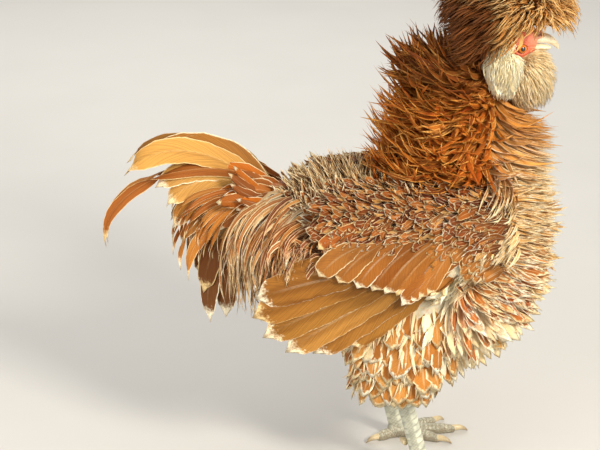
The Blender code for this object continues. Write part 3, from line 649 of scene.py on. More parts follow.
def refine(mesh, wanted, cuts):
    """Splits the faces whose middles are wanted."""
    with opened(mesh) as work:
        chosen = [face for face in work.faces if wanted(face.calc_center_median())]
        edges = list({edge for face in chosen for edge in face.edges})
        bmesh.ops.subdivide_edges(work, edges=edges, cuts=cuts, use_grid_fill=True, smooth=0.0)


# The skull under the crest, the reach of the lobes over the nostrils, and the size of the first faces
# of skin and legs.
SKULL, SKULL_REACH = (0.076, 0.0, 0.4150), (0.0170, 0.0150, 0.0130)
CERE_REACH = (0.0066, 0.0044, 0.0042)
SKIN_FACE, LEG_FACE = 0.0021, 0.0008


def on_fine_skin(place):
    """Whether a place is round the eye or on the nostrils, where the skin has its smallest faces."""
    by_eye = (place.x - 0.0945) ** 2 + (place.z - 0.399) ** 2 < 0.0115**2
    return place.z > 0.388 and abs(place.y) > 0.003 and (by_eye or place.x > 0.1)


def build_skin():
    """The whole bird's skin as one mesh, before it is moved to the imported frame."""
    parts = [torso_form.mesh(60, 40), neck_form.mesh(40, 32), head_form.mesh(50, 40), Form(TAIL).mesh(20, 16)]
    parts += [form.mesh(40, 24) for form in (*wing_forms.values(), *thigh_forms.values())]
    parts.append(ball(SKULL, SKULL_REACH))
    parts += [ball(CERE * (1, side, 1), CERE_REACH) for side in SIDES.values()]
    obj = remeshed("skin", parts, SKIN_FACE)
    mesh = obj.data
    refine(mesh, lambda place: place.x > 0.062 and place.z > 0.380, 2)
    refine(mesh, on_fine_skin, 1)
    with opened(mesh) as work:
        head = [v for v in work.verts if v.co.x > 0.060 and v.co.z > 0.378]
        for _ in range(6):
            bmesh.ops.smooth_vert(work, verts=head, factor=0.5, use_axis_x=True, use_axis_y=True,
                                  use_axis_z=True)
    points = read_vectors(mesh)
    head = step(points[:, 0], 0.064, 0.070) * step(points[:, 2], 0.380, 0.386)
    points += read_vectors(mesh, "normal") * (head_detail(points) * head)[:, None]
    move_points(mesh, points)
    set_colours(mesh, "markings", skin_colours(points))
    return smooth_piece(obj, skin_material())


def paint(*code):
    """A material's colour from one screen code."""
    return (*linear(code)[0], 1.0)


def horn_material(name, pale, dark, scale):
    """Horn: streaks along the growth, a darker tip by an attribute, low gloss."""
    nodes = Nodes(name, 0.35)
    mapping = nodes.add("ShaderNodeMapping", {"Vector": nodes.position(), "Scale": scale})
    streak = nodes.noise(1.0, 3.0, mapping.outputs["Vector"])
    tone = nodes.attribute("tone", "Fac")
    share = nodes.math("ADD", nodes.ranged(tone, 0.35, 1.0, 0.0, 0.75),
                       nodes.ranged(streak, 0.45, 0.8, 0.0, 0.35))
    nodes.surface({"Base Color": nodes.mix(share, pale, dark),
                   "Roughness": nodes.ranged(streak, 0.3, 0.7, 0.26, 0.44),
                   "Subsurface Weight": 0.08, "Subsurface Radius": (0.002, 0.0012, 0.0008)})
    nodes.bump(streak, 0.25, 0.0002)
    return nodes.material


# The bill's root and length, height and half width of its ridge, and height and half width of the gape.
BEAK_ROOT, BEAK_LENGTH = 0.098, 0.028
RIDGE_LOW, RIDGE_HALF = 0.3985, 0.0016
GROOVE_HEIGHT, GROOVE_DROP, GROOVE_HALF = 0.4005, 0.002, 0.0006


def build_beak():
    horn = horn_material("beak_horn", paint(252, 242, 214), paint(196, 168, 124), (300.0, 900.0, 900.0))
    for name, table, ridge_rise in (("upper", UPPER_BEAK, 0.0005), ("lower", LOWER_BEAK, 0.0)):
        obj = new_object(f"beak_{name}_horn", *Form(table).mesh(60, 48))
        points = read_vectors(obj.data)
        share = (points[:, 0] - BEAK_ROOT) / BEAK_LENGTH
        ridge = np.exp(-((points[:, 1] / RIDGE_HALF) ** 2)) * (points[:, 2] > RIDGE_LOW)
        points[:, 2] += ridge_rise * (ridge * (1 - step(share, 0.7, 1.0)))
        groove = np.exp(-(((points[:, 2] - (GROOVE_HEIGHT - GROOVE_DROP * share)) / GROOVE_HALF) ** 2))
        points[:, 1] *= 1 - 0.06 * groove
        move_points(obj.data, points)
        # Tone darkens toward the tip, the horn's own colour, and along the groove as painted shade.
        set_values(obj.data, "tone", np.clip(share * 0.8 + 0.25 * groove, 0, 1))
        finished(smooth_piece(obj, horn), "horn", f"beak_{name}")


def eye_material():
    """A wet eye: black pupil, orange iris with a dark ring."""
    nodes = Nodes("eye", 0.05)
    ring = nodes.attribute("ring", "Fac")
    threads = nodes.noise(2600.0, 3.0, nodes.position())
    iris = nodes.mix(threads, (0.62, 0.13, 0.015, 1.0), (0.95, 0.36, 0.05, 1.0))
    iris = nodes.mix(nodes.ranged(ring, 0.62, 0.74), iris, (0.16, 0.035, 0.01, 1.0))
    nodes.surface({"Base Color": nodes.mix(nodes.ranged(ring, 0.42, 0.36), iris, (0.004, 0.003, 0.003, 1.0)),
                   "Roughness": nodes.ranged(threads, 0.2, 0.8, 0.03, 0.07),
                   "Coat Weight": 1.0, "Coat Roughness": 0.02})
    return nodes.material


EYE_RADIUS, CORNEA_RISE = 0.0054, 0.0006


def build_eyes():
    wet = eye_material()
    for name, side in SIDES.items():
        points, faces = ball((0, 0, 0), (EYE_RADIUS,) * 3, 48, 40)
        points = np.array(points)[:, [2, 0, 1]]
        axis = unit(np.array((0.25, side, 0.02)))
        aside = np.cross(axis, (0, 0, 1.0))
        up = np.cross(aside, axis)
        away = np.hypot(points[:, 0], points[:, 2]) / EYE_RADIUS
        front = points[:, 1] > 0
        points[:, 1] += np.where(front, CORNEA_RISE * np.exp(-((away / 0.5) ** 2)), 0)
        points = points[:, :1] * aside + points[:, 1:2] * axis + points[:, 2:] * up
        obj = new_object(f"eyeball_{name}", points + EYE * (1, side, 1), [face[::-1] for face in faces])
        set_values(obj.data, "ring", np.where(front, away, 1.0))
        with opened(obj.data) as work:
            bmesh.ops.recalc_face_normals(work, faces=work.faces)
        finished(smooth_piece(obj, wet), "eye", f"eye_{name}")


SHANK = (
    (0.003, 0.0125, 0.0075, 0.0080),
    (0.000, 0.0220, 0.0068, 0.0075),
    (-0.006, 0.0450, 0.0058, 0.0072),
    (-0.014, 0.0750, 0.0060, 0.0076),
    (-0.020, 0.0960, 0.0078, 0.0092),
    (-0.022, 0.1080, 0.0070, 0.0080),
)
# Turn from straight ahead in degrees and length of each toe, and the line that they share.
TOES = ((-30.0, 0.040), (0.0, 0.054), (28.0, 0.043), (202.0, 0.024))
TOE_OUT = 8.0
TOE_SHARES, TOE_HEIGHTS = (0.0, 0.28, 0.5, 0.72, 1.0), (0.0078, 0.0056, 0.0047, 0.0042, 0.0031)
TOE_RADII = (0.0066, 0.0062, 0.0050, 0.0050, 0.0034)
HUB_AHEAD, HUB_HEIGHT, HUB_REACH = 0.005, 0.0086, (0.0108, 0.0108, 0.0092)
CLAW_LENGTH, CLAW_RADII, CLAW_FLOOR = 0.013, (0.0030, 0.0029, 0.0021, 0.0004), 0.0002
SPUR_PLACE, SPUR_AIM = (-0.012, -0.002, 0.034), (-0.6, -0.8, 0.05)
SPUR_STEPS, SPUR_RISE = (0, 0.004, 0.0072, 0.0095), (0, 0, 0.0004, 0.0012)
SPUR_RADII = (0.0036, 0.0030, 0.0019, 0.0004)
SHANK_PITCH, TOE_PITCH, SCUTE_RISE = 0.0062, 0.0040, 0.0005


def smooth_line(path, share):
    """Places on a smooth curve through the points of the path."""
    return stacked(*(curve_value([p[k] for p in path], share) for k in range(3)))


def tube(path, radii, sides, steps):
    """(points, faces, share along) of a tapering tube along a smooth path."""
    share = np.linspace(0, 1, steps + 1)
    line = smooth_line(path, share)
    radius = curve_value(radii, share)
    ahead = unit(np.gradient(line, axis=0))
    side = unit(np.cross(ahead, (0.0, 0.0, 1.0)))
    up = np.cross(side, ahead)
    turn = 2 * np.pi * np.arange(sides) / sides
    points = line[:, None] + radius[:, None, None] * (
        side[:, None] * np.cos(turn)[None, :, None] + up[:, None] * np.sin(turn)[None, :, None])
    faces = ring_faces(steps, sides)
    faces += [tuple(range(sides))[::-1], tuple(range(steps * sides, (steps + 1) * sides))]
    return points.reshape(-1, 3), faces, np.repeat(share, sides)


def toe_line(name, side, turn, length):
    """(path, heading) of one toe."""
    hub = np.array((STRIDE[name] + HUB_AHEAD, side * LEG_OUT, 0.0))
    angle = side * math.radians(turn + TOE_OUT)
    heading = np.array((math.cos(angle), math.sin(angle), 0.0))
    return [hub + heading * length * s + (0, 0, z) for s, z in zip(TOE_SHARES, TOE_HEIGHTS)], heading


def scale_relief(shank, name, side, points):
    """(relief, tone) of the scutes on the shank and the toes, for each point of a leg."""
    limbs = [(shank.centre(np.linspace(0, 1, 60)), SHANK_PITCH, np.array((1.0, 0.0, 0.15)))]
    for turn, length in TOES:
        path, _ = toe_line(name, side, turn, length)
        limbs.append((smooth_line(path, np.linspace(0, 1, 40)), TOE_PITCH, np.array((0.0, 0.0, 1.0))))
    best = np.full(len(points), np.inf)
    relief, tone = np.zeros(len(points)), np.zeros(len(points))
    for line, pitch, top in limbs:
        gaps = np.linalg.norm(points[:, None] - line[None], axis=2)
        nearest = gaps.argmin(1)
        distance = gaps[np.arange(len(points)), nearest]
        run = np.concatenate([[0], np.cumsum(np.linalg.norm(np.diff(line, axis=0), axis=1))])[nearest]
        ahead = unit(np.gradient(line, axis=0))[nearest]
        ray = points - line[nearest]
        run = run + dot(ray, ahead)[:, 0]
        ray = unit(ray - ahead * dot(ray, ahead))
        facing = dot(ray, unit(top - ahead * dot(top, ahead)))[:, 0]
        aside = np.arccos(np.clip(facing, -1, 1))
        phase = (run / pitch + 0.18 * aside) % 1.0
        plate = (1 - phase**6) * np.minimum(phase / 0.12, 1.0)
        small = 0.5 + 0.5 * np.sin(run / pitch * 4.4 * math.pi) * np.sin(aside * 3.4 * math.pi)
        scute, back = step(facing, 0.15, 0.45), step(-facing, 0.45, 0.75)
        here = plate * scute + small * (1 - scute) * (1 - back) * 0.6 + plate * back * 0.7
        closer = distance < best
        relief, tone = np.where(closer, here, relief), np.where(closer, 1 - here, tone)
        best = np.minimum(best, distance)
    return relief, tone


def leg_material():
    """Pale slate scales, darker between them, with a little soil near the ground."""
    nodes = Nodes("leg_skin", 0.5)
    position = nodes.position()
    blotch, fine = nodes.noise(160.0, 4.0, position), nodes.noise(1400.0, 3.0, position)
    colour = nodes.mix(nodes.ranged(blotch, 0.35, 0.7), paint(226, 226, 204), paint(184, 188, 172))
    tone = nodes.math("MULTIPLY", nodes.attribute("tone", "Fac"), 0.65)
    colour = nodes.mix(tone, colour, paint(104, 98, 82))
    soil = nodes.math("MULTIPLY", nodes.attribute("dirt", "Fac"), nodes.ranged(fine, 0.35, 0.6))
    nodes.surface({"Base Color": nodes.mix(soil, colour, paint(122, 104, 78)),
                   "Roughness": nodes.ranged(fine, 0.3, 0.7, 0.42, 0.62)})
    nodes.bump(fine, 0.3, 0.0002)
    return nodes.material


def build_claw(name, path, radii, steps, darkest, material, node):
    points, faces, share = tube(path, radii, 18, steps)
    points[:, 2] = np.maximum(points[:, 2], CLAW_FLOOR)
    claw = new_object(name, points, faces)
    set_values(claw.data, "tone", share * darkest)
    finished(smooth_piece(claw, material), "claw_horn", node)


def build_legs():
    scales = leg_material()
    horn = horn_material("claw_horn", paint(214, 196, 156), paint(128, 104, 76), (500.0, 500.0, 900.0))
    for name, side in SIDES.items():
        shank = Form(SHANK, (LEG_OUT,) * len(SHANK), side, STRIDE[name])
        hub = np.array((STRIDE[name] + HUB_AHEAD, side * LEG_OUT, HUB_HEIGHT))
        parts = [shank.mesh(50, 32), ball(hub, HUB_REACH, 28, 20)]
        claws = []
        for turn, length in TOES:
            path, heading = toe_line(name, side, turn, length)
            parts.append(tube(path, TOE_RADII, 20, 30)[:2])
            bend = [path[-1] + heading * far + (0, 0, up)
                    for far, up in ((-0.0035, 0.0008), (0.0020, 0.0014), (0.0080, 0.0006))]
            end = path[-1] + heading * CLAW_LENGTH
            end[2] = 0.0007
            claws.append([*bend, end])
        obj = remeshed(f"leg_{name}", parts, LEG_FACE, 3)
        points = read_vectors(obj.data)
        relief, tone = scale_relief(shank, name, side, points)
        points += read_vectors(obj.data, "normal") * (relief * SCUTE_RISE - 0.0001)[:, None]
        points[:, 2] = np.maximum(points[:, 2], 0.0)
        move_points(obj.data, points)
        set_values(obj.data, "tone", tone)
        set_values(obj.data, "dirt", 1 - step(points[:, 2], 0.004, 0.022))
        finished(smooth_piece(obj, scales), "leg_scales", f"shank_{name}", f"foot_{name}")
        for number, path in enumerate(claws, 1):
            build_claw(f"nail_{name}_{number}", path, CLAW_RADII, 24, 1.0, horn, f"claw_{name}_{number}")
        ahead, inward, height = SPUR_PLACE
        root = np.array((STRIDE[name] + ahead, side * (LEG_OUT + inward), height))
        aim = unit(np.array(SPUR_AIM) * (1, side, 1))
        path = [root + aim * far + (0, 0, up) for far, up in zip(SPUR_STEPS, SPUR_RISE)]
        build_claw(f"spur_horn_{name}", path, SPUR_RADII, 20, 0.7, horn, f"spur_{name}")


CREAM = linear((250, 232, 192), (242, 218, 168), (253, 244, 218), (236, 206, 154))
HACKLE = linear((172, 82, 20), (136, 56, 12), (98, 36, 8), (194, 102, 32), (156, 68, 16))
HACKLE_RIM = linear((226, 150, 58), (208, 124, 40), (238, 178, 92), (182, 94, 26))
COLLAR = linear((196, 126, 48), (178, 106, 34), (212, 146, 70))
TAN = linear((216, 166, 94), (198, 138, 66), (228, 182, 112), (180, 114, 48))
RUST = linear((184, 104, 44), (160, 82, 32), (204, 128, 60), (140, 66, 24))
SPANGLE = linear((190, 124, 54), (172, 106, 42), (206, 144, 72))
BACK = linear((190, 152, 100), (164, 118, 68), (200, 136, 72), (150, 98, 52))
BACK_RIM = linear((234, 214, 168), (220, 196, 146), (242, 226, 190), (222, 180, 120))
COVERT = linear((128, 62, 20), (98, 42, 12), (150, 80, 28), (172, 102, 42))
CREST_TONES = linear((210, 146, 70), (176, 112, 44), (238, 196, 130), (130, 74, 28), (222, 158, 80),
                     (196, 124, 50))
CREST_RIM = linear((246, 216, 158), (230, 188, 122), (214, 156, 86))
CREST_DARK = linear((96, 48, 16), (74, 34, 10), (120, 66, 24))
BEARD_TONES = linear((250, 220, 158), (240, 198, 126), (255, 240, 200), (230, 176, 98))
MUFF_TONES = linear((255, 250, 218), (255, 240, 196), (255, 253, 236), (252, 228, 172))
COVERT_BAND = linear((156, 96, 38), (142, 82, 28), (168, 108, 48))
FLIGHT = linear((164, 112, 46), (150, 98, 38), (174, 122, 56))
QUILL_RIM = linear((244, 222, 176), (234, 202, 144), (250, 238, 208))
TAIL_TONES = linear((196, 140, 64), (178, 118, 48), (210, 158, 84))
TAIL_DARK = linear((122, 74, 34), (136, 84, 42), (108, 60, 26))
SICKLE_TONES = linear((188, 116, 44), (172, 96, 32), (198, 132, 60))
TAIL_COVERT = linear((142, 82, 36), (166, 98, 42), (116, 62, 26), (188, 104, 32))
SADDLE = linear((190, 120, 54), (212, 146, 76), (160, 92, 40), (240, 208, 156))

# The white streak that runs down and back before the wing: heights, middles and half widths.
STREAK = ((0.165, 0.184, 0.203, 0.2225, 0.237, 0.251), (0.0, 0.008, 0.0206, 0.044, 0.051, 0.0566),
          (0.027, 0.0215, 0.0159, 0.0104, 0.0085, 0.0065))


def streak_at(z):
    """(middle, half width) of the white streak at each height."""
    return np.interp(z, STREAK[0], STREAK[1]), np.interp(z, STREAK[0], STREAK[2])


def in_streak(x, z):
    middle, half = streak_at(z)
    return (1 - step(np.abs(x - middle) / half, 0.8, 1.4)) * (1 - step(z, 0.258, 0.275))


def torso_colours(points):
    """(middle, rim) colours of the body's feathers by place: one field that skin and coat share."""
    count = len(points)
    x, _, z = points.T
    belly = 1 - step(z + 0.25 * np.clip(x, -0.1, 0.03), 0.150, 0.185)
    front = step(x, 0.050, 0.078)
    top = step(z, 0.262, 0.285) * (1 - front)
    lower_front = front * (1 - step(z, 0.20, 0.26))
    middle = blended(step(x, 0.0, 0.040), palette(COVERT, count), palette(RUST, count))
    middle = blended(top * (chance.random(count) < 0.6), middle, palette(BACK, count) * 0.9)
    middle = blended(front, middle, palette(TAN, count))
    middle = blended(lower_front * (chance.random(count) < 0.85), middle, palette(RUST, count))
    middle = blended(belly * (chance.random(count) < 0.6), middle, palette(CREAM, count))
    white = in_streak(x, z)
    middle = blended(white, middle, palette(MUFF_TONES, count))
    rim = blended(white, palette(CREAM, count), palette(MUFF_TONES, count))
    rim = blended(top * 0.8, rim, palette(BACK_RIM, count))
    return middle, rim


def neck_colours(points):
    """(middle, rim) colours of the neck: dark rusty hackle, orange collar, pale breast below it."""
    count = len(points)
    x, _, z = points.T
    border = 0.068 + 0.28 * (z - 0.29)
    front = step(x + chance.normal(0, 0.004, count), border - 0.006, border + 0.008)
    shade = step(z, 0.355, 0.380) * (1 - front)
    light = chance.random(count) * step(z, 0.25, 0.33)
    middle = blended(0.5 * light, palette(HACKLE, count, vary=0.2), palette(HACKLE_RIM, count))
    middle = blended(shade * 0.8, middle, palette(CREST_DARK, count))
    orange = step(z, 0.285, 0.340)
    middle = blended(front, middle, blended(orange * 0.95, palette(TAN, count), palette(COLLAR, count)))
    pale = palette(HACKLE_RIM, count)
    rim = blended(front, pale, blended(orange * 0.8, palette(CREAM, count), palette(COLLAR, count)))
    return middle, blended(shade * 0.6, rim, palette(CREST_DARK, count))


def wing_colours(points):
    return palette(COVERT_BAND, len(points)) * 1.1, palette(TAN, len(points))


def down_colours(points):
    return palette(CREAM, len(points)), palette(CREAM, len(points)) * 1.03


def thigh_colours(points):
    count = len(points)
    spotted = (chance.random(count) < 0.92).astype(float)
    middle = blended(spotted, palette(CREAM, count), palette(SPANGLE, count))
    return middle * 0.9, palette(CREAM, count) * 0.9


# How far a root may be from the skin, and the height over it where other skin is looked for.
SKIN_GAP, SIGHT_FROM = 0.0045, 0.005


def shows(tree, place, out, sight):
    """Which places are on the skin with nothing else of the bird over them within sight."""
    kept = []
    for point, ray in zip(place, out):
        gap = tree.find_nearest(Vector(point))[3]
        over = tree.ray_cast(Vector(point + ray * SIGHT_FROM), Vector(ray), sight)[0]
        kept.append(gap < SKIN_GAP and over is None)
    return np.array(kept)


# How far ahead the breast reaches at each height: heights, then places.
FRONT_LINE = ((0.08, 0.10, 0.13, 0.17, 0.20, 0.25, 0.31, 0.345),
              (0.030, 0.062, 0.092, 0.117, 0.124, 0.131, 0.128, 0.120))


def waves(points, size):
    """Three smooth wandering numbers at each place, which gather feathers into locks."""
    found = []
    for k in range(3):
        total = 0
        for j in range(4):
            aim = np.array((math.cos(2.4 * j + k), math.sin(1.7 * j + 2.1 * k), math.cos(1.1 * j + 4.0 * k)))
            total = total + np.sin(points @ aim * (1.0 + 0.45 * j) * 2 * math.pi / size + 1.9 * k + 2.3 * j)
        found.append(total / 2)
    return np.stack(found, -1)


BEARD_MIDDLE, BEARD_REACH = np.array((0.1030, 0.0, 0.3680)), np.array((0.0240, 0.0285, 0.0325))
MUFF_MIDDLE, MUFF_REACH = np.array((0.0775, 0.0290, 0.3815)), np.array((0.0175, 0.0145, 0.0275))
# How other feathers keep off them and off the eyes.
FACE_WIDER, FACE_EDGE, EYE_CLEAR = np.array((1.0, 1.3, 1.0)), 0.9, 0.0085
# Feathers strewn on a form: root under the skin, least climb from it, least length while it is worked
# out and when kept, and where the limit of width holds: above and behind.
STREW_DEPTH, LEAST_CLIMB, LEAST_LENGTH, KEPT_LENGTH = 0.0015, 0.12, 0.008, 0.010
WIDTH_ABOVE, WIDTH_BEHIND = 0.160, 0.030


def off_face(points):
    """Which points are outside the beard and the muffs."""
    balls = [(BEARD_MIDDLE, BEARD_REACH)]
    balls += [(MUFF_MIDDLE * (1, side, 1), MUFF_REACH) for side in SIDES.values()]
    return np.all([np.sum(((points - middle) / (reach * FACE_WIDER)) ** 2, 1) > FACE_EDGE
                   for middle, reach in balls], 0)


def off_eyes(points):
    """Which points are clear of the eyes, seen from the side."""
    return np.hypot(points[:, 0] - EYE[0] - 0.001, points[:, 2] - EYE[2]) > EYE_CLEAR


def strew(coat, tree, form, field, spacing, first, last, reach, longest, half_width, colours=torso_colours,
          area=(-1.0, 1.0, -1.0, 1.0), wanted=None, sway=0.10, lock=0.15, lock_size=0.022, sight=0.030,
          roll=0.35, lowest=0.0, highest=1.0, widest=1.0, **shape):
    """Feathers over a form, each grown to the coat's depth.

    The field gives the directions at root and tip, area the lowest and highest x and z of the roots,
    wanted a further choice of roots, sway and lock the unevenness of single feathers and of locks,
    sight the free height over a root, and lowest, highest and widest the limits of the tips.
    """
    along, angle = form.roots(spacing, first, last)
    place, out = form.point(along, angle), form.normal(along, angle)
    x, _, z = place.T
    keep = shows(tree, place, out, sight) & (x > area[0]) & (x < area[1]) & (z > area[2]) & (z < area[3])
    if wanted is not None:
        keep &= wanted(place, along, angle)
    along, angle, place, out = along[keep], angle[keep], place[keep], out[keep]
    count = len(place)
    start, finish = field(place, out)
    gather = waves(place, lock_size)
    start = unit(start + chance.normal(0, sway, (count, 3)) + gather * lock)
    finish = unit(finish + chance.normal(0, 2 * sway, (count, 3)) + gather * lock * 2)
    way = start * 0.5 + finish * 0.5
    climb = np.maximum(dot(way, out)[:, 0], LEAST_CLIMB)
    length = np.minimum(form.coat(along, angle) / climb, longest) * chance.uniform(*reach, count)
    room = np.where(way[:, 2] < -0.05, (place[:, 2] - lowest) / np.maximum(-way[:, 2], 0.05), 1.0)
    ceiling = (highest + chance.normal(0, 0.004, count) - place[:, 2]) / np.maximum(way[:, 2], 0.05)
    length = np.maximum(np.minimum(np.minimum(length, room), ceiling), LEAST_LENGTH)
    limit = np.interp(place[:, 2] + way[:, 2] * length, *FRONT_LINE) + chance.normal(0, 0.0045, count)
    ahead = way[:, 0] * length
    short = np.clip((limit - place[:, 0]) / np.maximum(ahead, 0.004), 0.3, 1.0)
    length *= np.where(ahead > 0.004, short, 1.0)
    tip = place + way * length[:, None]
    keep = off_face(tip) & off_face(place * 0.4 + tip * 0.6) & (length > KEPT_LENGTH)
    keep &= (np.abs(tip[:, 1]) < widest) | (tip[:, 2] < WIDTH_ABOVE) | (tip[:, 0] > WIDTH_BEHIND)
    along, angle, place, out, start, finish, tip, gather = (
        values[keep] for values in (along, angle, place, out, start, finish, tip, gather))
    count = len(place)
    face = unit(out - start * dot(out, start))
    middle, rim = colours(place * 0.3 + tip * 0.7)
    middle = middle * (1 + 0.8 * lock * gather[:, :1])
    bake = stacked((angle / (2 * np.pi)) % 1.0, along)
    coat.add(place - out * STREW_DEPTH, tip, start, finish, face,
             half_width * chance.uniform(0.8, 1.15, count), middle, rim, bake,
             twist=chance.normal(0, roll, count), **shape)


def cover(name, tree, form, field, material, slot, node, **how):
    """A piece of its own with feathers over one form."""
    coat = Coat(name)
    strew(coat, tree, form, field, **how)
    coat.build(material, slot, node)


def toward(out, *terms):
    """The weighted sum of directions, each given as weights, x, z and share of the outward direction."""
    total = 0
    for weight, x, z, share in terms:
        total = total + weight[:, None] * (np.array((x, 0.0, z)) + out * share)
    return unit(total)


def mixed(out, areas, aims):
    """(start, finish) directions of feathers, mixed from the aims of the areas by their shares."""
    return tuple(toward(out, *((area, *aim[k]) for area, aim in zip(areas, aims))) for k in (0, 1))


def steady(*aim):
    """A field with the same aim at every place."""
    return lambda place, out: mixed(out, [np.ones(len(place))], [aim])


# Aims of feathers: how they leave the skin and how they end, each x, z and share of the outward direction.
wing_field = steady((-0.92, -0.34, 0.16), (-0.92, -0.14, 0.24))
thigh_field = steady((-0.05, -1.0, 0.22), (-0.12, -0.92, 0.28))
# Nape, rear, sides and front.
NECK_AIMS = (
    ((-0.90, -0.05, 0.35), (-0.30, 0.90, 0.25)),
    ((-0.60, -0.75, 0.45), (-0.30, 0.95, 0.28)),
    ((-0.30, -0.85, 0.45), (-0.80, 0.25, 0.42)),
    ((0.55, -0.70, 0.35), (0.80, -0.05, 0.32)),
)


def neck_field(place, out):
    """Directions of the neck's feathers: down and forward in front, down and curling back behind."""
    high = 0.28 * step(place[:, 2], 0.28, 0.32)
    front = step(out[:, 0] + chance.normal(0, 0.20, len(out)) - high, 0.05, 0.50)
    rear = step(-out[:, 0] + chance.normal(0, 0.25, len(out)), -0.15, 0.50)
    side = np.maximum(1 - front - rear, 0.0)
    nape = step(place[:, 2], 0.335, 0.365) * rear
    return mixed(out, (nape, rear - nape, side, front), NECK_AIMS)


# Upper and lower front, top, upper and lower rear.
TORSO_AIMS = (
    ((0.50, -0.75, 0.40), (0.80, -0.20, 0.50)),
    ((0.30, -0.85, 0.35), (0.65, -0.60, 0.45)),
    ((-0.85, 0.05, 0.55), (-0.25, 0.65, 0.75)),
    ((-0.95, -0.20, 0.30), (-0.75, 0.12, 0.55)),
    ((-0.25, -0.90, 0.30), (-0.20, -0.80, 0.50)),
)


def torso_field(place, out):
    """Directions of the body's feathers: down over the breast, back over the flanks, up on the back."""
    x, _, z = place.T
    front = step(x, 0.030, 0.060)
    low = 1 - step(z, 0.165, 0.205)
    top = step(out[:, 2], 0.25, 0.75) * (1 - front)
    rear = (1 - front) * (1 - top)
    return mixed(out, (front * (1 - low), front * low, top, rear * (1 - low), rear * low), TORSO_AIMS)


def bent_side(start, chord):
    """The side of a feather that its bend turns to."""
    return unit(np.cross(np.cross(start, chord), start))


def nearest_on(tree, points):
    """(places, directions out) of the skin nearest to the points."""
    found = [tree.find_nearest(Vector(point)) for point in points]
    return np.array([f[0] for f in found]), np.array([f[1] for f in found])


def rays(count):
    """Directions spread evenly over a ball."""
    k = np.arange(count)
    height = 1 - 2 * (k + 0.5) / count
    turn = k * GOLDEN_TURN + chance.normal(0, 0.02, count)
    level = np.sqrt(1 - height**2)
    return stacked(level * np.cos(turn), level * np.sin(turn), height)


def around(ray):
    """Bake place of a tuft's root: the unwrap of its ball."""
    return stacked(np.arctan2(ray[:, 1], ray[:, 0]) / (2 * np.pi) % 1.0, 0.5 + 0.49 * ray[:, 2])


CREST_MIDDLE, CREST_REACH = np.array((0.079, 0.0, 0.441)), np.array((0.064, 0.066, 0.056))
# Lower edge of the crest: places ahead, then heights.
CREST_EDGE = ((0.02, 0.055, 0.074, 0.085, 0.094, 0.102, 0.112, 0.126, 0.142),
              (0.386, 0.390, 0.401, 0.414, 0.4165, 0.414, 0.4155, 0.411, 0.405))
# Strands added to the ball of the crest at the nape and over the beak: number, lowest and highest tip.
CREST_LOCKS = ((1150, (0.020, -0.046, 0.386), (0.062, 0.046, 0.432)),
               (320, (0.122, -0.034, 0.404), (0.144, 0.034, 0.430)))
CREST_STRANDS, CREST_HALF = 6200, 0.0017
CREST_FRONT, CREST_GROUND = 0.146, 0.415
# Twist of the strands of beard and muffs, and their numbers and half widths.
TUFT_TWIST = 0.5
BEARD_STRANDS, BEARD_HALF = 3000, 0.0015
MUFF_STRANDS, MUFF_HALF = 2300, 0.0019


def build_crest(tree, material):
    """The crest: strands from the skull that rise, arch over and hang to a ball."""
    ray = rays(CREST_STRANDS)
    hanging = ray[:, 2] < 0
    level = np.hypot(ray[:, 0], ray[:, 1])
    wide = np.where(hanging, (1 - np.abs(ray[:, 2]) ** 6) ** 0.5 / np.maximum(level, 0.05), 1.0)
    spread = ray * stacked(wide, wide, 1.0)
    deep = chance.uniform(0.55, 1.03, len(ray))
    deep = np.where(hanging & (ray[:, 2] < -0.4), chance.uniform(0.3, 1.0, len(ray)), deep)
    tip = CREST_MIDDLE + CREST_REACH * spread * stacked(deep, deep, np.maximum(deep, 0.8))
    for number, low, high in CREST_LOCKS:
        extra = chance.uniform(low, high, (number, 3))
        tip = np.concatenate([tip, extra])
        ray = np.concatenate([ray, unit((extra - CREST_MIDDLE) / CREST_REACH)])
    x, _, z = tip.T
    edge = np.interp(x, *CREST_EDGE) + chance.normal(0, 0.003, len(ray))
    lean = np.clip((0.436 - z) / 0.03, 0, 1)
    keep = (z > edge) & (x < CREST_FRONT - 0.006 * lean) & off_eyes(tip)
    ray, tip, x, z = ray[keep], tip[keep], x[keep], z[keep]
    count = len(ray)
    ground = CREST_MIDDLE * (1, 1, 0) + (0, 0, CREST_GROUND)
    aim = ground + unit(ray * (1, 1, 0.4) + (0, 0, 0.35)) * 0.012
    aim[:, 0] += 0.010 * step(x, 0.02, 0.12)
    root, out = nearest_on(tree, aim)
    hang = unit(ray / CREST_REACH)
    fall = blended(step(x, 0.098, 0.126), np.array((-0.80, 0.0, -0.60)), np.array((0.55, 0.0, -0.80)))
    fall = unit(fall + ray * (0, 0.5, 0) - hang * dot(fall, hang))
    gather = waves(tip, 0.030)
    chord = unit(tip - root)
    finish = fall + hang * chance.normal(0.18, 0.20, (count, 1)) + chance.normal(0, 0.09, ray.shape)
    finish = unit(unit(finish + 0.22 * gather) + 0.45 * chord)
    start = unit(ray * (0.8, 0.8, 0.2) + (0, 0, 0.8) + 0.5 * chord + chance.normal(0, 0.10, ray.shape))
    face = bent_side(start, tip - root)
    shade = step(-x, -0.070, -0.050) * (1 - step(z, 0.434, 0.468))
    middle = blended(shade, palette(CREST_TONES, count, vary=0.2), palette(CREST_DARK, count))
    rim = blended(shade * 0.95, palette(CREST_RIM, count), palette(CREST_DARK, count) * 1.25)
    width, twist = CREST_HALF * chance.uniform(0.55, 1.25, count), chance.normal(0, 0.6, count)
    for name, half in (("right", tip[:, 1] < 0), ("left", tip[:, 1] >= 0)):
        coat = Coat(f"crest_coat_{name}")
        coat.add(root[half] - out[half] * ROOT_DEPTH, tip[half], start[half], finish[half], -face[half],
                 width[half], middle[half], rim[half], around(ray[half]), outline=STRAND, grips=(0.45, 0.50),
                 cup=0.25, twist=twist[half])
        coat.build(material, "crest_feathers", "crest")


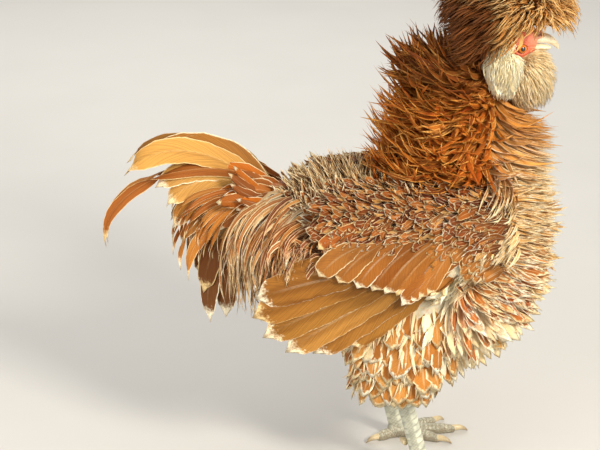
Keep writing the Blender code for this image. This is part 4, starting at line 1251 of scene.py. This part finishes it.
def build_tuft(tree, name, count, centre, reach, flow, half_width, tones, rims, material, node, wanted):
    """A ball of strands that leave the face and fall along the flow: the beard or a muff."""
    ray = rays(count)
    ray = ray[wanted(ray)]
    tip = centre + reach * ray * chance.uniform(0.80, 1.04, len(ray))[:, None]
    clear = off_eyes(tip)
    ray, tip = ray[clear], tip[clear]
    root, out = nearest_on(tree, centre + reach * ray * 0.35 + np.array((-0.012, 0, 0.010)))
    hang = unit(ray / reach)
    fall = unit(flow - hang * dot(flow, hang))
    chord = unit(tip - root)
    finish = unit(fall + hang * chance.normal(0.55, 0.30, (len(ray), 1)) + 0.4 * chord
                  + chance.normal(0, 0.12, ray.shape))
    start = unit(out + chord * 0.6 + chance.normal(0, 0.1, ray.shape))
    coat = Coat(name)
    coat.add(root - out * ROOT_DEPTH, tip, start, finish, -bent_side(start, tip - root),
             half_width * chance.uniform(0.6, 1.2, len(ray)), palette(tones, len(ray)),
             palette(rims, len(ray)), around(ray), outline=STRAND[1:], grips=(0.42, 0.48), cup=0.25,
             twist=chance.normal(0, TUFT_TWIST, len(ray)))
    coat.build(material, "beard_feathers", node)


def fan_feather(side, root, rise, end, length, turn):
    """(tip, start, finish, face) of feathers that leave at rise and end at end degrees."""
    low, high, turn = (np.radians(v) for v in (rise, end, turn))
    bend = np.where(np.abs(high - low) < 1e-3, 1e-3, high - low)
    level = stacked(-np.cos(turn), side * np.sin(turn), 0.0)
    up = np.array((0.0, 0.0, 1.0))
    run = (length * (np.sin(high) - np.sin(low)) / bend)[:, None]
    climb = (length * (np.cos(low) - np.cos(high)) / bend)[:, None]
    tip = root + level * run + up * climb
    start = level * np.cos(low)[:, None] + up * np.sin(low)[:, None]
    finish = level * np.cos(high)[:, None] + up * np.sin(high)[:, None]
    face = np.broadcast_to(np.array((0.0, side * math.cos(0.21), math.sin(0.21))), root.shape)
    return tip, start, finish, face


BLADE = tuple(np.interp(np.linspace(0, 0.992, 24), (0, 0.04, 0.30, 0.62, 0.80, 0.90, 0.95, 0.98, 1.0),
                        (0.14, 0.20, 0.88, 1.0, 0.97, 0.88, 0.72, 0.48, 0.18)))
SICKLE = tuple(np.interp(np.linspace(0, 0.985, 22), (0, 0.2, 0.42, 0.63, 0.86, 1.0),
                         (0.4, 0.9, 1.0, 0.95, 0.66, 0.1)))
VANE = (-1.0, -0.62, -0.28, -0.05, 0.0, 0.05, 0.28, 0.62, 1.0)


# Tail feathers of one side: tip x and z, rise at the root and at the tip in degrees, half width,
# distance from the middle plane at the root and at the tip, and how dark.
TAIL_FAN = (
    (-0.240, 0.290, 60, -35, 0.0125, 0.0016, 0.004, 0.2),
    (-0.255, 0.280, 48, -52, 0.0115, 0.0045, 0.012, 0.0),
    (-0.228, 0.268, 40, -45, 0.0110, 0.0025, 0.008, 0.0),
    (-0.218, 0.252, 30, -52, 0.0110, 0.0030, 0.010, 0.1),
    (-0.213, 0.231, 20, -62, 0.0112, 0.0035, 0.012, 0.0),
    (-0.198, 0.215, 8, -62, 0.0120, 0.0045, 0.014, 0.0),
    (-0.182, 0.200, -5, -68, 0.0125, 0.0050, 0.016, 0.3),
    (-0.186, 0.172, -12, -84, 0.0115, 0.0060, 0.020, 1.0),
    (-0.180, 0.144, -25, -98, 0.0105, 0.0065, 0.022, 1.0),
    (-0.166, 0.149, -40, -86, 0.0105, 0.0070, 0.022, 1.0),
)
TAIL_SICKLES = (
    (-0.273, 0.212, 66, -98, 0.0070, 0.0060, 0.010, 0.5),
    (-0.206, 0.193, 32, -98, 0.0062, 0.0098, 0.018, 0.4),
    (-0.199, 0.184, 4, -98, 0.0062, 0.0105, 0.022, 0.0),
    (-0.213, 0.206, 40, -92, 0.0046, 0.0090, 0.015, 0.6),
    (-0.190, 0.200, 12, -88, 0.0046, 0.0110, 0.021, 0.2),
)


def arched(coat, side, table, outline, tones, darks, column, jitter=0.0, **shape):
    """Feathers of a table of the tail, from the tail's root to their tips."""
    rows = np.array(table, float)
    x, z, rise, fall, half_width, near, far, dark = rows.T
    count = len(rows)
    x, z = x + chance.normal(0, jitter, count), z + chance.normal(0, jitter, count)
    root = stacked(-0.121, side * near, 0.261 - 0.9 * near)
    tip = stacked(x, side * far, z)
    rise, fall = np.radians(rise + chance.normal(0, 2, count)), np.radians(fall + chance.normal(0, 3, count))
    start = stacked(-np.cos(rise), side * 0.06, np.sin(rise))
    finish = stacked(-np.cos(fall), side * 0.04, np.sin(fall))
    face = np.broadcast_to(np.array((0.0, side * math.cos(0.30), math.sin(0.30))), root.shape)
    middle = blended(dark, palette(tones, count), palette(darks, count))
    bake = stacked(column + 0.03 * np.arange(count), 0.25 + 0.4 * (side > 0))
    coat.add(root, tip, start, finish, face, half_width, middle, palette(QUILL_RIM, count), bake,
             outline=outline, across=VANE, grips=(0.42, 0.42), twist=chance.normal(0, 0.22, count), **shape)


# Thin strands over the tail's root and short curls at it, on each side.
TAIL_STRANDS, TAIL_CURLS, CURL_HALF = 26, 18, 0.0074


def build_tail(material):
    """The tail: a fan of wide feathers, sickles, thin strands and curls at its root."""
    coat, coverts = Coat("tail_coat"), Coat("tail_covert_coat")
    for side in SIDES.values():
        jitter = 0.003 if side > 0 else 0.0
        arched(coat, side, TAIL_FAN, BLADE, TAIL_TONES, TAIL_DARK, 0.03, jitter, cup=0.16, ragged=0.06,
               quill=0.0005)
        arched(coat, side, TAIL_SICKLES, SICKLE, SICKLE_TONES, TAIL_DARK, 0.4, jitter, cup=0.25, ragged=0.08,
               quill=0.0004)
        count = TAIL_STRANDS
        share = chance.random(count)
        strands = stacked(-0.170 - 0.040 * share + chance.normal(0, 0.006, count), 0.196 + 0.040 * share,
                          6 + 40 * share, -84 + chance.normal(0, 10, count),
                          chance.uniform(0.0016, 0.0034, count), 0.0105,
                          chance.uniform(0.016, 0.027, count), chance.random(count) * 0.6)
        arched(coat, side, strands, SICKLE, SICKLE_TONES, TAIL_DARK, 0.02, cup=0.2, ragged=0.1)
        count = TAIL_CURLS
        k = np.arange(count)
        share = k / (count - 1)
        root = stacked(-0.112 - 0.016 * chance.random(count), side * (0.003 + 0.011 * share),
                       0.265 - 0.014 * share)
        tip, start, finish, face = fan_feather(
            side, root, 48 - 40 * share + chance.normal(0, 8, count), chance.uniform(-40, 60, count),
            chance.uniform(0.034, 0.056, count), 6 + 20 * share)
        bake = stacked(0.03 + 0.03 * k, 0.9 + 0.02 * side)
        coverts.add(root, tip, start, finish, face, CURL_HALF * chance.uniform(0.6, 1.1, count),
                    palette(TAIL_COVERT, count), palette(CREAM, count), bake, across=5, cup=0.25,
                    twist=chance.normal(0, 0.5, count))
    for piece in (coat, coverts):
        piece.build(material, "tail_feathers", "tail")


# Roots and tips of the wing's large feathers: x, z.
FLIGHT_ROOTS = ((-0.036, 0.223), (0.000, 0.218), (0.022, 0.212))
FLIGHT_TIPS = ((-0.112, 0.208), (-0.138, 0.190), (-0.141, 0.172), (-0.132, 0.153), (-0.112, 0.139),
               (-0.088, 0.138), (-0.060, 0.146))
COVERT_ROOTS = ((-0.043, 0.246), (-0.009, 0.248), (0.022, 0.251), (0.050, 0.258))
COVERT_TIPS = ((-0.083, 0.216), (-0.066, 0.210), (-0.050, 0.205), (-0.037, 0.2025), (-0.026, 0.200),
               (-0.016, 0.198), (-0.005, 0.195))
TERTIAL_ROOTS = ((-0.036, 0.262), (-0.031, 0.260), (-0.026, 0.257))
TERTIAL_TIPS = ((-0.084, 0.240), (-0.079, 0.232), (-0.071, 0.225))
EDGE_ROOTS = ((0.052, 0.256), (0.054, 0.250), (0.054, 0.243), (0.052, 0.236))
EDGE_TIPS = ((0.010, 0.200), (0.002, 0.196), (-0.006, 0.1925), (-0.012, 0.190))
# Rows of the wing's large feathers: roots, tips, distances of both from the middle plane, half width,
# bend in radians, cup and colours. The first row is the flights, the last is the tertials.
WING_ROWS = (
    (FLIGHT_ROOTS, FLIGHT_TIPS, 0.0895, 0.0780, 0.0150, 0.10, 0.10, FLIGHT),
    (COVERT_ROOTS, COVERT_TIPS, 0.0935, 0.0915, 0.0102, 0.30, 0.18, COVERT_BAND),
    (TERTIAL_ROOTS, TERTIAL_TIPS, 0.0870, 0.0890, 0.0066, 0.25, 0.26, RUST * 0.8),
)
WING_LEAN = 0.14
# Outer line of the small coverts across the wing and the shoulder: distances from the middle plane, heights.
SHOULDER = ((0.0870, 0.0905, 0.0935, 0.0945, 0.0915, 0.0820, 0.0670, 0.0500, 0.0340),
            (0.196, 0.214, 0.232, 0.248, 0.262, 0.2725, 0.280, 0.285, 0.289))
# Small coverts: steps ahead and up the shoulder, the last place behind, and the distance between two.
COVERTS_AHEAD, COVERTS_UP, COVERTS_REAR, COVERT_PITCH = 32, 25, -0.104, 0.0055
COVERT_HALF, CURLY_NARROWER = 0.0053, 0.0016


def wing_blades(coat, side, root, tip, bend, half_width, tones, bake, **shape):
    """Large feathers of the wing, bent in its plane by the two angles of bend, at root and at tip."""
    count = len(root)
    faces = np.broadcast_to((0.0, side * math.cos(WING_LEAN), math.sin(WING_LEAN)), root.shape)
    aim = unit(tip - root)
    start, finish = (turned(aim, faces, np.full(count, side * angle)) for angle in bend)
    coat.add(root, tip, start, finish, faces, half_width, palette(tones, count), palette(QUILL_RIM, count),
             bake, outline=BLADE, across=VANE, ragged=0.05, **shape)


def small_coverts(coat, side):
    """Short feathers over the shoulder and the wing: flat and scalloped low down, curly higher up."""
    along, level = (grid.ravel() for grid in np.meshgrid(np.arange(COVERTS_AHEAD), np.arange(COVERTS_UP)))
    x = COVERTS_REAR + COVERT_PITCH * (along + 0.5 * (level % 2)) + chance.normal(0, 0.0018, along.shape)
    share = (level + chance.normal(0, 0.30, along.shape)) / (COVERTS_UP - 1)
    y, z = (curve_value(line, share) for line in SHOULDER)
    across, up = (curve_value(line, share + 0.02) - curve_value(line, share - 0.02) for line in SHOULDER)
    z = z + 0.14 * (x + 0.02) * (1 - share) + 0.06 * np.minimum(x, 0) * share
    y = y * (1 - 3.0 * np.maximum(-0.060 - x, 0) * share) - 0.24 * np.maximum(x - 0.040, 0)
    lowest = 0.236 + 0.3 * np.maximum(-0.066 - x, 0) - 1.0 * np.maximum(x - 0.014, 0)
    rear = -0.104 + 0.022 * np.abs(2 * share - 1.2) + chance.uniform(0, 0.012, x.shape)
    keep = (x < 0.060 + 0.008 * share) & (z > lowest) & (x > rear)
    x, y, z, up, across, share = (values[keep] for values in (x, y, z, up, across, share))
    count = len(x)
    low = (1 - step(z, 0.222, 0.246)) * step(x, 0.004, 0.022)
    slope = unit(stacked(0.0, side * up, -across) + 1e-9)
    tip = stacked(x, side * y, z) + slope * chance.normal(0, 0.0010, (count, 1))
    flow = blended(low, np.array((-0.93, 0.0, -0.26)), np.array((-0.72, 0.0, -0.66)))
    curly = step(share, 0.12, 0.42)
    unrest = 0.10 + 0.14 * curly[:, None]
    flow = unit(flow + unrest * chance.normal(0, 1, tip.shape) + 0.22 * waves(tip, 0.03))
    flow = unit(flow - slope * dot(flow, slope))
    root = tip - chance.uniform(0.016, 0.023, count)[:, None] * flow - slope * 0.0060
    lift = chance.uniform(0.35, 1.1, (count, 1)) * (1 + 0.7 * curly * step(x, -0.09, -0.05))[:, None]
    finish = unit(flow + slope * lift + 0.25 * curly[:, None] * chance.normal(0, 1, tip.shape))
    half_width = (COVERT_HALF - CURLY_NARROWER * curly) * chance.uniform(0.7, 1.15, count)
    twist = chance.normal(0, 0.25, count) * (1 + 2 * curly)
    middle = blended(low, palette(COVERT, count, vary=0.22), palette(COVERT_BAND, count))
    rim = blended(0.5 * chance.random(count), palette(CREAM, count), palette(TAN, count))
    pale = (chance.random(count) < 0.30 * curly).astype(float)
    middle = blended(0.55 * pale, middle * (1 - 0.15 * curly[:, None]), palette(TAN, count))
    half_width *= 1 - 0.50 * pale
    bake = stacked(0.5 + 0.4 * side * (x + 0.12), (z - 0.2) * 4)
    for part, points_across in ((curly < 0.5, 5), (curly >= 0.5, 3)):
        coat.add(root[part], tip[part], unit(flow + 0.10 * slope)[part], finish[part], slope[part],
                 half_width[part], middle[part], rim[part], bake[part], across=points_across, cup=0.22,
                 twist=twist[part])


def build_wing(tree, name, side, flight, vane, scale):
    """The feathers of one wing: flights, larger coverts, tertials, small coverts and front edge."""
    flights, coat, coverts = (Coat(f"{part}_coat_{name}") for part in ("flight", "wing", "covert"))
    for row, (roots, tips, root_out, tip_out, half_width, bend, cup, tones) in enumerate(WING_ROWS):
        count = len(tips)
        share = np.arange(count) / (count - 1)
        x, z = (curve_value([r[k] for r in roots], share) for k in (0, 1))
        root = stacked(x, side * (root_out - 0.0030 * share), z)
        tip = np.array([(x, side * tip_out, z) for x, z in tips])
        bake = stacked(0.03 + 0.03 * np.arange(count), 0.1 + 0.1 * row)
        wing_blades(coat if row else flights, side, root, tip, (bend, -bend), half_width, tones, bake,
                    cup=cup, quill=0.0005)
    strew(coverts, tree, wing_forms[name], wing_field, spacing=0.0040, first=0.60, last=0.998,
          reach=(0.75, 1.15), longest=0.026, half_width=0.0052, colours=wing_colours,
          area=(0.030, 1.0, -1.0, 1.0), lock=0.05, sight=0.010, sway=0.05, roll=0.15)
    small_coverts(coverts, side)
    root, tip = (np.array([(x, side * out, z) for x, z in line])
                 for line, out in ((EDGE_ROOTS, 0.0885), (EDGE_TIPS, 0.0950)))
    bake = stacked(0.5 + 0.03 * np.arange(len(root)), 0.9)
    wing_blades(coat, side, root, tip, (0.40, -0.30), 0.0080, COVERT_BAND * 1.12, bake, cup=0.25,
                quill=0.0004)
    for piece, material in ((coverts, scale), (coat, vane), (flights, flight)):
        piece.build(material, "wing_feathers", f"wing_{name}")


SADDLE_STRANDS, SADDLE_HALF = 300, 0.0022
RIBBON = (0.5, 0.8, 1, 1, 1, 0.95, 0.9, 0.8, 0.6, 0.4)


def build_saddle(material):
    """Long strands that leave the rump and hang beside the tail."""
    coat = Coat("saddle_coat")
    count = SADDLE_STRANDS
    for side in SIDES.values():
        share = 1.60 * chance.random(count) ** 1.25
        along = 0.03 + 0.20 * share + chance.normal(0, 0.015, count)
        angle = np.radians(chance.uniform(20 + 25 * share, 100, count))
        place, out = torso_form.point(along, side * angle), torso_form.normal(along, side * angle)
        drop = chance.random(count)
        x = -0.160 + 0.044 * share + chance.normal(0, 0.005, count)
        y = side * (0.030 + 0.040 * np.minimum(share, 1.1) + 0.014 * drop)
        z = 0.160 + 0.050 * drop + 0.035 * np.maximum(share - 0.75, 0) + chance.normal(0, 0.005, count)
        tip = stacked(x, y, z)
        rusty = (chance.random(count) < 0.15 + 0.60 * share).astype(float)
        rise = 0.30 - 0.25 * (angle > 1.2) - 0.28 * step(share, 0.5, 1.1)
        heading = stacked(-0.95, side * 0.30, rise)
        start = unit(heading + chance.normal(0, 0.10, heading.shape))
        finish = unit(np.array((0.12, 0.0, -1.0)) + chance.normal(0, 0.22, heading.shape))
        face = unit(out - start * dot(out, start))
        bake = stacked((side * angle / (2 * np.pi)) % 1.0, along)
        coat.add(place - out * ROOT_DEPTH, tip, start, finish, face,
                 SADDLE_HALF * chance.uniform(0.4, 1.2, count),
                 blended(rusty, palette(SADDLE, count), palette(COVERT, count)),
                 blended(0.5 * rusty, palette(CREAM, count), palette(HACKLE_RIM, count)), bake,
                 outline=RIBBON, cup=0.25, grips=(0.5, 0.45), twist=chance.normal(0, 0.6, count))
    coat.build(material, "hackle_feathers", "torso")


# Number, half width and the lowest and highest tips of the feathers under the tail.
VENT_FEATHERS, VENT_HALF = 420, 0.0024
VENT_AREA = ((-0.150, -0.036, 0.150), (-0.085, 0.036, 0.222))


def build_vent(tree, material):
    """Soft pale feathers that hang under the tail."""
    coat = Coat("vent_coat")
    count = VENT_FEATHERS
    tip = chance.uniform(*VENT_AREA, (count, 3))
    tip[:, 2] -= 0.5 * np.minimum(tip[:, 0] + 0.118, 0)
    root, out = nearest_on(tree, tip + (0.022, 0.0, 0.034))
    start = unit(out + (-0.6, 0.0, 0.0) + chance.normal(0, 0.10, tip.shape))
    finish = unit(np.array((-0.25, 0.0, -0.95)) + chance.normal(0, 0.18, tip.shape))
    middle, rim = down_colours(tip)
    bake = stacked(0.5 + 4 * tip[:, 1], 4 * (tip[:, 2] - 0.14))
    coat.add(root - out * ROOT_DEPTH, tip, start, finish, -bent_side(start, tip - root),
             VENT_HALF * chance.uniform(0.6, 1.2, count), middle * 0.9, rim, bake, outline=LANCE,
             twist=chance.normal(0, 0.4, count))
    coat.build(material, "body_feathers", "torso")


# Number, half width and ranges of x and z of the feathers over the front of a wing.
SHOULDER_FEATHERS, SHOULDER_HALF = 1400, 0.0026
SHOULDER_AREA = ((0.0, 0.080), (0.180, 0.272))


def build_shoulders(tree, material):
    """Feathers of the breast's side that hang over the front of each wing."""
    coat = Coat("shoulder_coat")
    for side in SIDES.values():
        count = SHOULDER_FEATHERS
        x, z = (chance.uniform(*ends, count) for ends in SHOULDER_AREA)
        middle, half = streak_at(z)
        keep = x > middle - half
        keep &= (in_streak(x, z) > 0.2) | (z > chance.normal(0.222, 0.006, count))
        x, z = x[keep], z[keep]
        count = len(x)
        tip = stacked(x, side * (0.088 - 0.55 * np.abs(x - 0.056) + chance.normal(0, 0.003, count)), z)
        root, out = nearest_on(tree, tip + np.array((0.022, -side * 0.026, 0.022)))
        start = unit(out + (0.1, 0.0, -0.35) + chance.normal(0, 0.18, tip.shape))
        finish = unit(np.array((-0.55, side * 0.25, -0.80)) + chance.normal(0, 0.25, tip.shape)
                      + waves(tip, 0.03) * 0.3)
        face = unit(np.array((0.0, side, 0.0)) - start * (side * start[:, 1:2]))
        white = in_streak(x, z) * chance.uniform(0.7, 1.0, count)
        middle = blended(white, palette(TAN, count), palette(MUFF_TONES, count))
        rim = blended(white, palette(CREAM, count), palette(MUFF_TONES, count))
        bake = stacked((side * 0.25 + x) % 1.0, z)
        coat.add(root - out * ROOT_DEPTH, tip, start, finish, face,
                 SHOULDER_HALF * chance.uniform(0.6, 1.1, count), middle, rim, bake, outline=LANCE,
                 twist=chance.normal(0, 0.3, count))
    coat.build(material, "body_feathers", "torso")


# Lamps: name, place from the bird's middle, size, watts and colour.
LAMPS = (
    ("key", (1.05, -1.45, 1.1), 0.5, 44.0, (1.0, 0.93, 0.80)),
    ("fill", (-1.3, -1.6, 0.7), 1.6, 17.0, (1.0, 0.97, 0.92)),
    ("back", (-0.4, 1.6, 1.2), 1.2, 14.0, (1.0, 0.97, 0.92)),
)
SKY, SKY_STRENGTH = (1.0, 0.97, 0.92, 1.0), 0.62
FLOOR_HALF = 4
# The camera's height in degrees, distance, and the place on the bird that it looks at.
CAMERA_TILT, CAMERA_DISTANCE, CAMERA_AIM = math.radians(20.0), 1.8, (-0.099, 0.0, 0.230)
LENS, SENSOR = 120.0, 36.0


def build_stage():
    """Pale floor, soft lamps and the photograph's camera."""
    corners = [(x * FLOOR_HALF, y * FLOOR_HALF, 0) for x, y in ((-1, -1), (1, -1), (1, 1), (-1, 1))]
    floor = new_object("floor", corners, [(0, 1, 2, 3)])
    ground = Nodes("floor", 0.9)
    grain = ground.noise(40.0, 3.0)
    ground.surface({"Base Color": ground.mix(grain, (0.62, 0.61, 0.59, 1.0), (0.68, 0.67, 0.65, 1.0))})
    floor.data.materials.append(ground.material)
    scene = bpy.context.scene
    scene.world = bpy.data.worlds.new("studio")
    scene.world.use_nodes = True
    sky = scene.world.node_tree.nodes["Background"]
    sky.inputs[0].default_value, sky.inputs[1].default_value = SKY, SKY_STRENGTH
    middle = Vector((*SHIFT[:2], 0.25))
    for name, place, size, watts, tint in LAMPS:
        lamp = bpy.data.lights.new(name, "AREA")
        lamp.size, lamp.energy, lamp.color = size, watts, tint
        obj = bpy.data.objects.new(name, lamp)
        scene.collection.objects.link(obj)
        obj.location = middle + Vector(place)
        obj.rotation_euler = (-Vector(place)).to_track_quat("-Z", "Y").to_euler()
    lens = bpy.data.cameras.new("camera")
    lens.lens, lens.sensor_width = LENS, SENSOR
    camera = bpy.data.objects.new("camera", lens)
    scene.collection.objects.link(camera)
    back = Vector((0.0, -math.cos(CAMERA_TILT), math.sin(CAMERA_TILT)))
    camera.location = Vector(SHIFT) + Vector(CAMERA_AIM) + CAMERA_DISTANCE * back
    camera.rotation_euler = (math.pi / 2 - CAMERA_TILT, 0.0, 0.0)
    scene.camera = camera
    scene.view_settings.view_transform = "Standard"


def build_torso(tree, body, scallop, lace):
    """The coats of the body: breast, lower breast, flanks, back and the pale down between them."""
    for name, material, how in (
            ("breast_coat", body, dict(
                spacing=0.0031, first=0.5, last=0.995, reach=(0.6, 1.05), longest=0.060, half_width=0.0028,
                area=(0.040, 1.0, 0.19, 1.0), sway=0.08, outline=LANCE)),
            ("lower_breast_coat", scallop, dict(
                spacing=0.0050, first=0.45, last=0.998, reach=(0.7, 1.05), longest=0.056, half_width=0.0044,
                area=(0.040, 1.0, -1.0, 0.215), lowest=0.078, sway=0.07, lock=0.08, roll=0.2, ragged=0.3)),
            ("torso_coat", lace, dict(
                spacing=0.0046, first=0.02, last=0.998, reach=(0.6, 1.05), longest=0.056, half_width=0.0046,
                area=(-1.0, 0.046, -1.0, 0.262), lowest=0.078, sight=0.010, widest=0.078)),
            ("back_coat", body, dict(
                spacing=0.0034, first=0.02, last=0.9, reach=(0.6, 1.08), longest=0.050, half_width=0.0027,
                area=(-1.0, 0.060, 0.240, 1.0), sway=0.12, lock=0.2, outline=LANCE))):
        cover(name, tree, torso_form, torso_field, material, "body_feathers", "torso", **how)
    down = Coat("down_coat")
    shared = {"half_width": 0.0017, "colours": down_colours, "lock": 0.10, "outline": LANCE}
    strew(down, tree, torso_form, torso_field, spacing=0.0036, first=0.02, last=0.998, reach=(0.60, 0.92),
          longest=0.052, area=(-1.0, 0.062, -1.0, 1.0), lowest=0.074, widest=0.078,
          wanted=lambda place, along, angle: place[:, 2] < 0.225 - 0.5 * np.abs(place[:, 0] - 0.04), **shared)
    for form in thigh_forms.values():
        strew(down, tree, form, thigh_field, spacing=0.0046, first=0.02, last=0.97, reach=(0.55, 0.85),
              longest=0.046, lowest=0.072, **shared)
    down.build(body, "body_feathers", "torso")


def build_neck(tree, body, hackle):
    """The neck's pale front and the long hackle round its sides and nape."""
    shared = {"first": 0.04, "last": 0.99, "colours": neck_colours, "outline": LANCE}
    cover("neck_front_coat", tree, neck_form, neck_field, body, "body_feathers", "neck", spacing=0.0021,
          reach=(0.55, 1.0), longest=0.070, half_width=0.0019, sway=0.045, lock=0.05,
          wanted=lambda place, along, angle: np.cos(angle) < -0.3 - 0.30 * step(along, 0.2, 0.5), **shared)
    cover("hackle_coat", tree, neck_form, neck_field, hackle, "hackle_feathers", "neck", spacing=0.0025,
          reach=(0.52, 1.04), longest=0.078, half_width=0.0029, sway=0.075, lock=0.32, lock_size=0.029,
          roll=0.6, highest=0.409, cup=0.35, grips=(0.44, 0.56),
          wanted=lambda place, along, angle: np.cos(angle) > -0.42 - 0.30 * step(along, 0.2, 0.5), **shared)


def main():
    skin = build_skin()
    work = bmesh.new()
    work.from_mesh(skin.data)
    tree = BVHTree.FromBMesh(work)
    work.free()
    body = feather_material("body_feathers", (0.35, 0.70), (0.78, 0.92), down=0.8)
    lace = feather_material("laced_feathers", (0.66, 0.90), (0.88, 0.97), down=0.7, bow=0.14)
    scale = feather_material("covert_feathers", (0.84, 0.98), (0.90, 0.99), down=0.55, fraying=0.18, bow=0.14)
    hackle = feather_material("hackle_feathers", (0.45, 0.95), (0.80, 0.97), barbs=0.22, down=0.6)
    fine = feather_material("fine_feathers", (0.3, 0.9), (0.7, 1.0), barbs=0.2, down=0.8)
    soft = feather_material("soft_feathers", (0.3, 0.9), (0.6, 1.0), barbs=0.08, down=1.0, clouding=0.1)
    flight = feather_material("flight_feathers", (0.93, 1.10), (0.90, 0.97), shaft=0.10, down=0.60,
                              clouding=1.0, fraying=0.16, bow=0.03, shaft_shade=0.7)
    vane = feather_material("vane_feathers", (0.88, 0.98), (0.89, 0.95), shaft=0.15, down=0.8, barbs=0.2,
                            clouding=0.5, fraying=0.10)
    scallop = feather_material("scallop_feathers", (0.58, 0.95), (0.80, 0.95), down=0.85, fraying=0.40,
                               bow=0.14)
    spangled = feather_material("spangled_feathers", (0.66, 0.92), (0.86, 0.95), down=0.7, fraying=0.3,
                                bow=0.125)
    build_torso(tree, body, scallop, lace)
    build_neck(tree, body, hackle)
    for name, side in SIDES.items():
        cover(f"thigh_coat_{name}", tree, thigh_forms[name], thigh_field, spangled, "thigh_feathers",
              f"thigh_{name}", spacing=0.0078, first=0.02, last=0.97, reach=(0.75, 1.05), longest=0.040,
              half_width=0.0088, colours=thigh_colours, lowest=0.078, sway=0.06, lock=0.06, roll=0.15,
              ragged=0.25, outline=ROUND)
        build_wing(tree, name, side, flight, vane, scale)
        build_tuft(tree, f"muff_coat_{name}", MUFF_STRANDS, MUFF_MIDDLE * (1, side, 1), MUFF_REACH,
                   np.array((-0.5, 0.3 * side, -1.0)), MUFF_HALF, MUFF_TONES, MUFF_TONES, soft,
                   f"muff_{name}",
                   lambda ray, side=side: (ray[:, 1] * side > -0.6) & (ray[:, 0] - 0.8 * ray[:, 2] < 1.2))
    build_tuft(tree, "beard_coat", BEARD_STRANDS, BEARD_MIDDLE, BEARD_REACH, np.array((0.2, 0.0, -1.0)),
               BEARD_HALF, BEARD_TONES, CREAM, soft, "beard",
               lambda ray: (ray[:, 2] < 0.92) & (ray[:, 0] > -0.85))
    build_crest(tree, fine)
    build_tail(vane)
    build_saddle(hackle)
    build_shoulders(tree, soft)
    build_vent(tree, body)
    build_eyes()
    build_beak()
    build_legs()
    finished(skin, "face_skin", "head", "torso", "neck", "tail", "crest", "beard",
             *(f"{part}_{side}" for part in ("wing", "thigh", "muff") for side in SIDES))
    build_stage()


main()
